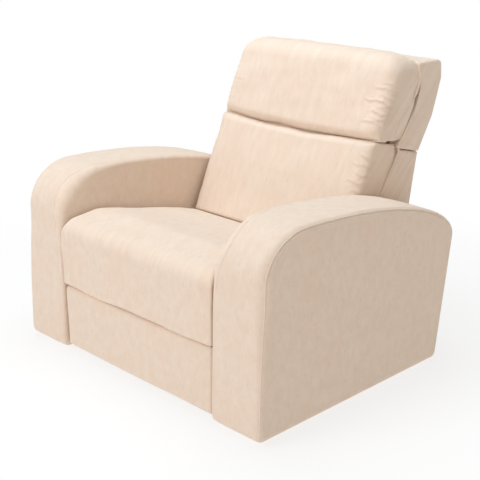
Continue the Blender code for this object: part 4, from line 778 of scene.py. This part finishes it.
def footrest_cover():
    """The padded front of the footrest: a flat panel with soft edges."""
    piece = grid_mesh("footrest_cover", padded_rings(FOOTREST_CORNERS, SEAT_HALF, 0.012, 0.0035, (-1.0, 0.0), 0.008))
    relief(piece, lambda at: soft_waves(at, 31, 0.15, 0.0010))
    smooth = piece.modifiers.new("smooth", "SUBSURF")
    smooth.levels = smooth.render_levels = 1
    hang(piece, "footrest", "fabric_seat", "footrest_pad")
    return piece


def worked_cushion(name, points, corners, half, radius, seed, foot, top, wrap, puckers, depth, seam):
    """A back cushion from its rings: filled with air, slightly uneven, squared and wrapped at its ends, gathered.

    The unevenness and the puckers take their random draws from seed on; seam is (place, depth).
    """
    piece = grid_mesh(name, points)
    fill_with_air(piece, back_places(corners, positions(piece)))
    long_wave, short_wave, gather_seed = seed
    relief(piece, lambda at: soft_waves(at, *long_wave, 0.0026) + soft_waves(at, *short_wave, 0.0006))
    smooth_once(piece)
    square_ends(piece, half, radius, foot, top)
    wrap_sides(piece, corners[1:3], half, radius, wrap, -1)
    relief(piece, lambda at: gathers(at, corners, half, puckers, depth, gather_seed)
           + end_seam(at, corners, half, *seam))
    return piece


def lumbar_cover():
    """The lumbar cushion: a tall pad with a rounded upper edge and light gathers at its ends."""
    points = padded_rings(LUMBAR_CORNERS, CUSHION_HALF, LUMBAR_END_RADIUS, 0.018, CUSHION_LEAN, CUSHION_STEP, 0.004)
    sag_edge(points, CUSHION_HALF, 0.66, 0.56)
    piece = worked_cushion("lumbar_cover", points, LUMBAR_CORNERS, CUSHION_HALF, LUMBAR_END_RADIUS,
                           ((41, 0.17), (42, 0.06), 43), (0.420, 0.95), (0.636, 0.75), LUMBAR_WRAP,
                           LUMBAR_PUCKERS, 0.0026, (0.050, 0.0012))
    press_between_arms(piece)
    at = positions(piece)
    at[:, 2] = np.maximum(at[:, 2], rest_line(at[:, 1] - FRONT_Y) + 0.0045)
    place(piece, at)
    hang(piece, "back", "fabric_seat", "lumbar_cushion")
    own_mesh(piece)
    return piece


def press_between_arms(piece):
    """Keep a back piece 1 mm clear of the arms' inner faces below their crests, and 9 mm wider above."""
    at = positions(piece)
    above = np.clip((at[:, 2] - 0.575) / 0.06, 0, 1)
    half = ARM_INNER_X - 0.0010 + 0.009 * above
    at[:, 0] = np.clip(at[:, 0], -half, half)
    place(piece, at)


def smooth_once(piece):
    """One applied subdivision, so that creases can be worked finer than the simulated cloth."""
    smooth = piece.modifiers.new("smooth", "SUBSURF")
    smooth.levels = smooth.render_levels = 1
    graph = bpy.context.evaluated_depsgraph_get()
    finer = bpy.data.meshes.new_from_object(piece.evaluated_get(graph), depsgraph=graph)
    piece.modifiers.remove(smooth)
    piece.data = finer
    piece.data.shade_smooth()


def head_cover():
    """The head cushion: full above, rolled under at the parting line, deeply gathered at its left-hand end."""
    points = padded_rings(HEAD_CORNERS, HEAD_HALF, HEAD_END_RADIUS, 0.012, CUSHION_LEAN, CUSHION_STEP, 0.008)
    across = np.clip(np.abs(points[..., 0]) / HEAD_HALF, 0, 1)
    upper = np.clip((points[..., 2] - 0.80) / 0.13, 0, 1)
    points[..., 2] -= HEAD_CORNER_DROP * np.clip((across - 0.74) / 0.26, 0, 1) ** 2 * upper
    points[..., 2] += HEAD_MIDDLE_RISE * (1 - across ** 2) * upper
    sag_edge(points, HEAD_HALF, 0.74, 0.86)
    piece = worked_cushion("head_cover", points, HEAD_CORNERS, HEAD_HALF, HEAD_END_RADIUS,
                           ((51, 0.15), (52, 0.05), 60), (0.740, 0.95), (0.99, 0.0), HEAD_WRAP,
                           HEAD_PUCKERS, 0.0036, (0.060, 0.0014))
    hang(piece, "headrest", "fabric_seat", "head_cushion")
    return piece


def prism(name, loop, ends):
    """A plain closed block, used as a cutter: a flat (y, z) loop carried along x from the first end to the second."""
    return grid_mesh(name, laid_out(np.array(ends)[:, None], np.repeat([loop], 2, axis=0)))


def cut(piece, cutter):
    """The exact Boolean of a piece less a cutter, which is then deleted.

    The faces of both point inwards, so the Boolean leaves the piece's form whole.
    """
    modifier = piece.modifiers.new("cut", "BOOLEAN")
    modifier.operation = "DIFFERENCE"
    modifier.solver = "EXACT"
    modifier.object = cutter
    graph = bpy.context.evaluated_depsgraph_get()
    mesh = bpy.data.meshes.new_from_object(piece.evaluated_get(graph), depsgraph=graph)
    piece.modifiers.remove(modifier)
    piece.data = mesh
    mesh.shade_smooth()
    mesh.set_sharp_from_angle(angle=math.radians(42))
    bpy.data.objects.remove(cutter, do_unlink=True)


def shell_cover(name, corners, front, pocket, wrap, widening, body, node, seed):
    """An upholstered shell behind the cushions, with softly rounded edges; its hollow stays filled.

    Its side outline is carried along x; its front edges stand back where the cushions wrap round
    them.  front is the foot and the top of that line, and widening is how far the sides stand proud
    of the frame.
    """
    half = BACK_HALF + widening
    piece = grid_mesh(name, padded_rings(corners, half, SHELL_EDGE, 0.0, (1.0, 0.0), 0.008, 0.0015))
    relief(piece, lambda at: soft_waves(at, seed, 0.18, 0.0010))
    smooth_once(piece)
    wrap_sides(piece, front, half, SHELL_EDGE, wrap, 1)
    press_between_arms(piece)
    cut(piece, prism(name + "_hollow", pocket, (POCKET_HALF, -POCKET_HALF)))
    return hang(piece, body, "fabric_arms", node)


def gusset(name, tip, radii, turns, half, sag):
    """The folded cloth that closes the gap between the back and the headrest on one side of their pivot.

    A wedge about the pivot: pivot + r * (cos a, sin a), with r through radii and a through the turns
    about the tip's direction, carried along x; its middle sags by sag * (1 - share^2).
    """
    reach = np.array(tip) - HEAD_PIVOT
    start = math.atan2(reach[1], reach[0])
    turn = start + turns
    outer = radii[-1] * np.column_stack([np.cos(turn), np.sin(turn)])
    upper = np.outer(radii[::-1][1:], (math.cos(turn[-1]), math.sin(turn[-1])))
    lower = np.outer(radii[:-1], (math.cos(turn[0]), math.sin(turn[0])))
    loop = np.vstack([lower, outer, upper]) + HEAD_PIVOT
    x = np.linspace(half, -half, 60)[:, None]
    rings = np.repeat([loop], len(x), axis=0)
    rings[..., 1] -= sag * (1 - (x / half) ** 2)
    piece = grid_mesh(name, laid_out(x, rings))
    piece.data.set_sharp_from_angle(angle=math.radians(42))
    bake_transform(piece)
    return piece


def gussets():
    """The gusset between the two shells and the one deep in the parting line between the cushions."""
    rear = np.concatenate([np.full(1, 0.012), np.linspace(0.030, 0.1475, 8)])
    turns = np.linspace(-0.010, 0.012, 12)
    behind = gusset("shell_gusset", SHELL_PARTING, rear, turns, GUSSET_HALF, 0.0)
    front = np.linspace(0.014, 0.049, 8)
    turns = np.linspace(-0.11, 0.11, 12)
    ahead = gusset("parting_gusset", CUSHION_PARTING, front, turns, PARTING_GUSSET_HALF, PARTING_SAG)
    return behind, ahead


def cup_outline(spare=0.0):
    """The mouth of the latch cup as a rounded loop of (y, z), let out by spare."""
    low = (CUP_LOW.y - spare - FRONT_Y, CUP_LOW.z - spare)
    high = (CUP_HIGH.y + spare - FRONT_Y, CUP_HIGH.z + spare)
    corners = [(*place, CUP_CORNER) for place in (low, (high[0], low[1]), high, (low[0], high[1]))]
    return rounded_rings(corners, [0.0], 0.004)[0][0]


def latch_bezel():
    """The rim round the latch cup: a quarter-round lip on the right arm's outer face.

    Its section goes from the cup's mouth up and outwards by 6 mm and down to the cloth, carried round
    the cup's rounded outline.
    """
    outline = cup_outline()
    normals = loop_normals(outline)
    section = np.array([(-0.0028, 0.0005), (-0.0026, 0.0042), (-0.0010, 0.0056), (0.0015, 0.0061),
                        (0.0040, 0.0054), (0.0054, 0.0036), (0.0056, 0.0006)])
    rings = outline[:, None] + normals[:, None] * section[:, :1]
    piece = ring_mesh("latch_bezel", laid_out(-(ARM_OUTER_X + section[:, 1])[None, :], rings))
    return hang(piece, "base", "dark_plastic")


def cup_cutter():
    """A rounded block a little larger than the latch cup; the arm's cover stays closed over the cup."""
    return prism("cup_cutter", cup_outline(CUP_SPARE), (CUP_HIGH.x + 0.001, -ARM_OUTER_X - 0.02))


class Nodes:
    """Short hand for building the node tree of a new material, or of the surround."""

    def __init__(self, name, kinds=bpy.data.materials):
        self.material = kinds.new(name)
        self.material.use_nodes = True
        self.tree = self.material.node_tree
        self.shader = self.tree.nodes.get("Principled BSDF")

    def add(self, kind, inputs=None, **settings):
        """A node with its settings; inputs maps socket names to values or other nodes' sockets."""
        node = self.tree.nodes.new(kind)
        for key, value in settings.items():
            setattr(node, key, value)
        for key, value in (inputs or {}).items():
            if isinstance(value, bpy.types.NodeSocket):
                self.tree.links.new(value, node.inputs[key])
            else:
                node.inputs[key].default_value = value
        return node

    def math(self, operation, first, second=0.5):
        """A Math node's result."""
        return self.add("ShaderNodeMath", {0: first, 1: second}, operation=operation).outputs[0]

    def noise(self, vector, scale, detail=3.0, roughness=0.55):
        """A noise texture's factor; scale is one rate for all or (x, y, z)."""
        if not isinstance(scale, (int, float)):
            vector = self.add("ShaderNodeVectorMath", {0: vector, 1: scale}, operation="MULTIPLY").outputs[0]
            scale = 1.0
        return self.add("ShaderNodeTexNoise", {"Vector": vector, "Scale": scale, "Detail": detail,
                                               "Roughness": roughness}).outputs["Fac"]

    def spread(self, value, low, high, to_low=0.0, to_high=1.0):
        """A value stretched from low..high to new limits and clamped there."""
        return self.add("ShaderNodeMapRange", {"Value": value, "From Min": low, "From Max": high,
                                               "To Min": to_low, "To Max": to_high}).outputs["Result"]

    def blend(self, share, first, second):
        """A colour between two colours."""
        first = (*first, 1.0) if isinstance(first, tuple) else first
        second = (*second, 1.0) if isinstance(second, tuple) else second
        node = self.add("ShaderNodeMix", data_type="RGBA")
        for index, value in ((0, share), (6, first), (7, second)):
            if isinstance(value, bpy.types.NodeSocket):
                self.tree.links.new(value, node.inputs[index])
            else:
                node.inputs[index].default_value = value
        return node.outputs[2]

    def places(self):
        """The piece's own coordinates."""
        return self.add("ShaderNodeTexCoord").outputs["Object"]

    def plain(self, name, value):
        """Set one input of the Principled shader to one value."""
        self.shader.inputs[name].default_value = value

    def connect(self, socket, name):
        """Feed one input of the Principled shader."""
        self.tree.links.new(socket, self.shader.inputs[name])

    def bump(self, height, strength, distance):
        """Feed the shader's normal from a height."""
        node = self.add("ShaderNodeBump", {"Height": height, "Strength": strength, "Distance": distance})
        self.tree.links.new(node.outputs["Normal"], self.shader.inputs["Normal"])


def linen(name, own_map):
    """Woven linen-look upholstery.

    With own_map the threads follow the piece's cloth map; otherwise the weft lies along x and the warp
    along z less y.  Colour holds three tones of mottling, slubs that are long along the warp and short
    across it, and a thread-by-thread weave; the same fields drive the bump.
    """
    made = Nodes(name)
    cloth = made.add("ShaderNodeUVMap", uv_map="cloth").outputs[0] if own_map else made.places()
    parts = made.add("ShaderNodeSeparateXYZ", {0: cloth})
    weft = parts.outputs[0]
    warp = parts.outputs[1] if own_map else made.math("SUBTRACT", parts.outputs[2], parts.outputs[1])
    flat = made.add("ShaderNodeCombineXYZ", {0: weft, 1: warp, 2: 0.0}).outputs[0]
    blotch = made.noise(flat, (40.0, 26.0, 1.0), 3.0, 0.55)
    cloud = made.noise(flat, 8.0, 2.0, 0.5)
    streak = made.noise(flat, (240.0, 52.0, 1.0), 2.0, 0.5)
    pale_streak = made.noise(flat, (270.0, 44.0, 1.0), 2.0, 0.5)
    slub = made.noise(flat, (900.0, 60.0, 1.0), 2.0, 0.6)
    cross_slub = made.noise(flat, (70.0, 820.0, 1.0), 2.0, 0.6)
    warp_thread = made.math("SINE", made.math("MULTIPLY", weft, 2 * math.pi / 0.0016))
    weft_thread = made.math("SINE", made.math("MULTIPLY", warp, 2 * math.pi / 0.0014))
    weave = made.math("MULTIPLY", warp_thread, weft_thread)
    tone = made.blend(made.spread(blotch, 0.32, 0.70, 0.15, 0.85), LINEN_TONE, LINEN_PALE)
    for field, low, high, most, colour in (
            (cloud, 0.46, 0.72, 0.30, LINEN_WARM), (streak, 0.57, 0.74, 0.36, THREAD_TONE),
            (pale_streak, 0.57, 0.74, 0.36, LINEN_PALE), (slub, 0.56, 0.80, 0.28, LINEN_PALE),
            (cross_slub, 0.58, 0.82, 0.22, THREAD_TONE)):
        tone = made.blend(made.spread(field, low, high, 0.0, most), tone, colour)
    made.connect(tone, "Base Color")
    made.connect(made.spread(slub, 0.3, 0.8, 0.95, 0.84), "Roughness")
    made.plain("Specular IOR Level", 0.25)
    made.plain("Sheen Weight", 0.18)
    made.plain("Sheen Roughness", 0.45)
    made.plain("Sheen Tint", (1.0, 0.93, 0.85, 1.0))
    height = made.math("MULTIPLY", weave, 0.22)
    for field, part in ((slub, 0.9), (cross_slub, 0.6), (streak, 0.8)):
        height = made.math("ADD", height, made.math("MULTIPLY", field, part))
    made.bump(height, 0.45, SLUB_BUMP)
    return made.material


def sewing_thread(name):
    """Pale twisted thread: fine diagonal strands in tone and bump."""
    made = Nodes(name)
    places = made.places()
    strand = made.noise(places, (900.0, 1500.0, 1500.0), 2.0, 0.6)
    made.connect(made.blend(made.spread(strand, 0.4, 0.7), STITCH_TONE, LINEN_PALE), "Base Color")
    made.plain("Roughness", 0.75)
    made.bump(strand, 0.3, 0.0002)
    return made.material


def coated_steel(name, colour, roughness, metallic):
    """Powder-coated or bare steel: fine pitting, cloudy gloss and a little rubbed colour."""
    made = Nodes(name)
    places = made.places()
    fine = made.noise(places, 900.0, 2.0, 0.6)
    cloudy = made.noise(places, 24.0, 4.0, 0.6)
    scuffed = made.noise(places, (60.0, 400.0, 60.0), 4.0, 0.7)
    rubbed = tuple(min(1.0, part * 1.9 + 0.03) for part in colour)
    made.connect(made.blend(made.spread(scuffed, 0.60, 0.78, 0.0, 0.5), colour, rubbed), "Base Color")
    made.connect(made.spread(cloudy, 0.3, 0.7, roughness * 0.8, min(1.0, roughness * 1.25)), "Roughness")
    made.plain("Metallic", metallic)
    made.bump(fine, 0.25, 0.0003)
    return made.material


def timber_grain(name, along):
    """Sawn softwood: bands of growth rings drawn out along one axis, with pores."""
    made = Nodes(name)
    places = made.places()
    stretch, pores = (tuple(small if axis == along else large for axis in "xyz")
                      for small, large in ((5.0, 55.0), (30.0, 900.0)))
    rings = made.noise(places, stretch, 3.0, 0.55)
    banded = made.math("SINE", made.math("MULTIPLY", rings, 38.0))
    pore = made.noise(places, pores, 2.0, 0.6)
    tone = made.blend(made.spread(banded, -1.0, 1.0), (0.62, 0.45, 0.27), (0.47, 0.30, 0.16))
    tone = made.blend(made.spread(pore, 0.55, 0.75, 0.0, 0.6), tone, (0.33, 0.20, 0.10))
    made.connect(tone, "Base Color")
    made.connect(made.spread(banded, -1.0, 1.0, 0.62, 0.78), "Roughness")
    made.bump(made.math("ADD", banded, pore), 0.25, 0.0005)
    return made.material


def moulded(name, colour, roughness):
    """Moulded plastic with a fine spark-eroded grain."""
    made = Nodes(name)
    places = made.places()
    grain = made.noise(places, 1500.0, 2.0, 0.6)
    cloudy = made.noise(places, 30.0, 3.0, 0.6)
    paler = tuple(min(1.0, part * 1.15 + 0.004) for part in colour)
    made.connect(made.blend(cloudy, colour, paler), "Base Color")
    made.connect(made.spread(cloudy, 0.3, 0.7, roughness * 0.9, roughness * 1.15), "Roughness")
    made.bump(grain, 0.3, 0.0002)
    return made.material


def dress(piece, material):
    """Give a piece or a CAD node one material."""
    piece.data.materials.clear()
    piece.data.materials.append(material)


def dress_frame(finishes):
    """Give every CAD node that still shows its finish, chosen by a word in its name."""
    for name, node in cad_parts.items():
        if node.hide_render:
            continue
        for words, material in finishes:
            if any(word in name for word in words):
                dress(node, material)
                break


def studio():
    """A pale floor, a white surround that only the camera and reflections see, and soft lamps."""
    made = Nodes("surround", bpy.data.worlds)
    bpy.context.scene.world = made.material
    path = made.add("ShaderNodeLightPath")
    seen = made.math("MAXIMUM", path.outputs["Is Camera Ray"], path.outputs["Is Glossy Ray"])
    glow = made.add("ShaderNodeBackground", {"Color": AMBIENT_COLOUR, "Strength": AMBIENT})
    white = made.add("ShaderNodeBackground", {"Strength": 1.0})
    both = made.add("ShaderNodeMixShader", {0: seen, 1: glow.outputs[0], 2: white.outputs[0]})
    made.tree.links.new(both.outputs[0], made.tree.nodes["World Output"].inputs["Surface"])
    for name, spot, size, watts, colour in LAMPS:
        lamp = bpy.data.lights.new(name, "AREA")
        lamp.shape = "DISK"
        lamp.size = size
        lamp.energy = watts
        lamp.color = colour
        holder = bpy.data.objects.new(name, lamp)
        bpy.context.collection.objects.link(holder)
        holder.location = spot
        holder.rotation_euler = (Vector(LAMP_TARGET) - Vector(spot)).to_track_quat("-Z", "Y").to_euler()
    corners = FLOOR_HALF * np.array([(-1, -1, 0), (1, -1, 0), (1, 1, 0), (-1, 1, 0)])
    floor = new_piece("floor", corners, [(0, 1, 2, 3)])
    made = Nodes("pale_floor")
    made.plain("Base Color", (0.93, 0.93, 0.93, 1.0))
    made.plain("Roughness", 0.9)
    made.plain("Specular IOR Level", 0.1)
    bright = made.add("ShaderNodeEmission", {"Color": (1.0, 1.0, 1.0, 1.0), "Strength": 1.0})
    away = made.add("ShaderNodeVectorMath", {0: made.places()}, operation="LENGTH").outputs["Value"]
    mix = made.add("ShaderNodeMixShader", {0: made.spread(away, 0.75, 1.7, 0.74, 1.0), 1: made.shader.outputs[0],
                                           2: bright.outputs[0]})
    made.tree.links.new(mix.outputs[0], made.tree.nodes["Material Output"].inputs["Surface"])
    dress(floor, made.material)


def camera():
    """The photograph's view: from the chair's front left, a little above seat height, with a long lens."""
    lens = bpy.data.cameras.new("camera")
    lens.lens = LENS
    lens.sensor_width = 36.0
    lens.shift_x = LENS_SHIFT
    eye = bpy.data.objects.new("camera", lens)
    bpy.context.collection.objects.link(eye)
    eye.location = EYE
    level = math.cos(EYE_PITCH)
    towards = Vector((-math.sin(EYE_AZIMUTH) * level, math.cos(EYE_AZIMUTH) * level, -math.sin(EYE_PITCH)))
    eye.rotation_euler = towards.to_track_quat("-Z", "Y").to_euler()
    bpy.context.scene.camera = eye


linen_mapped = linen("linen_arms", True)
linen_across = linen("linen_cushions", False)
thread = sewing_thread("sewing_thread")
for side, sign in (("left", 1), ("right", -1)):
    cover = arm_cover(side, sign)
    if side == "right":
        cut(cover, cup_cutter())
    dress(cover, linen_mapped)
    dress(arm_topstitch(side, sign), thread)
for cover in (seat_cover(), footrest_cover(), lumbar_cover(), head_cover()):
    dress(cover, linen_across)
shells = (
    shell_cover("back_cover", BACK_CORNERS, (BACK_CORNERS[5], BACK_CORNERS[4]), BACK_POCKET, LUMBAR_WRAP,
                0.002, "back", "back_shell", 71),
    shell_cover("head_shell_cover", HEAD_SHELL_CORNERS, (HEAD_SHELL_CORNERS[0], HEAD_SHELL_CORNERS[-1]), HEAD_POCKET,
                HEAD_WRAP, 0.006, "headrest", "headrest_shell", 72),
)
for cover in shells + gussets():
    dress(cover, linen_across)
black_plastic = moulded("black_plastic", (0.025, 0.025, 0.027), 0.42)
dress(latch_bezel(), black_plastic)

dress_frame((
    (("spring",), coated_steel("spring_wire", (0.45, 0.45, 0.47), 0.32, 0.95)),
    (("slide_block",), moulded("nylon", (0.80, 0.79, 0.74), 0.45)),
    (("glide", "latch_cup", "release_lever"), black_plastic),
    (("seat_board", "arm_frame"), timber_grain("timber_lengthwise", "y")),
    (("board",), timber_grain("timber_crosswise", "x")),
    (("",), coated_steel("dark_steel", (0.045, 0.045, 0.05), 0.42, 0.6)),
))
studio()
camera()
bpy.context.scene.view_settings.view_transform = "Standard"
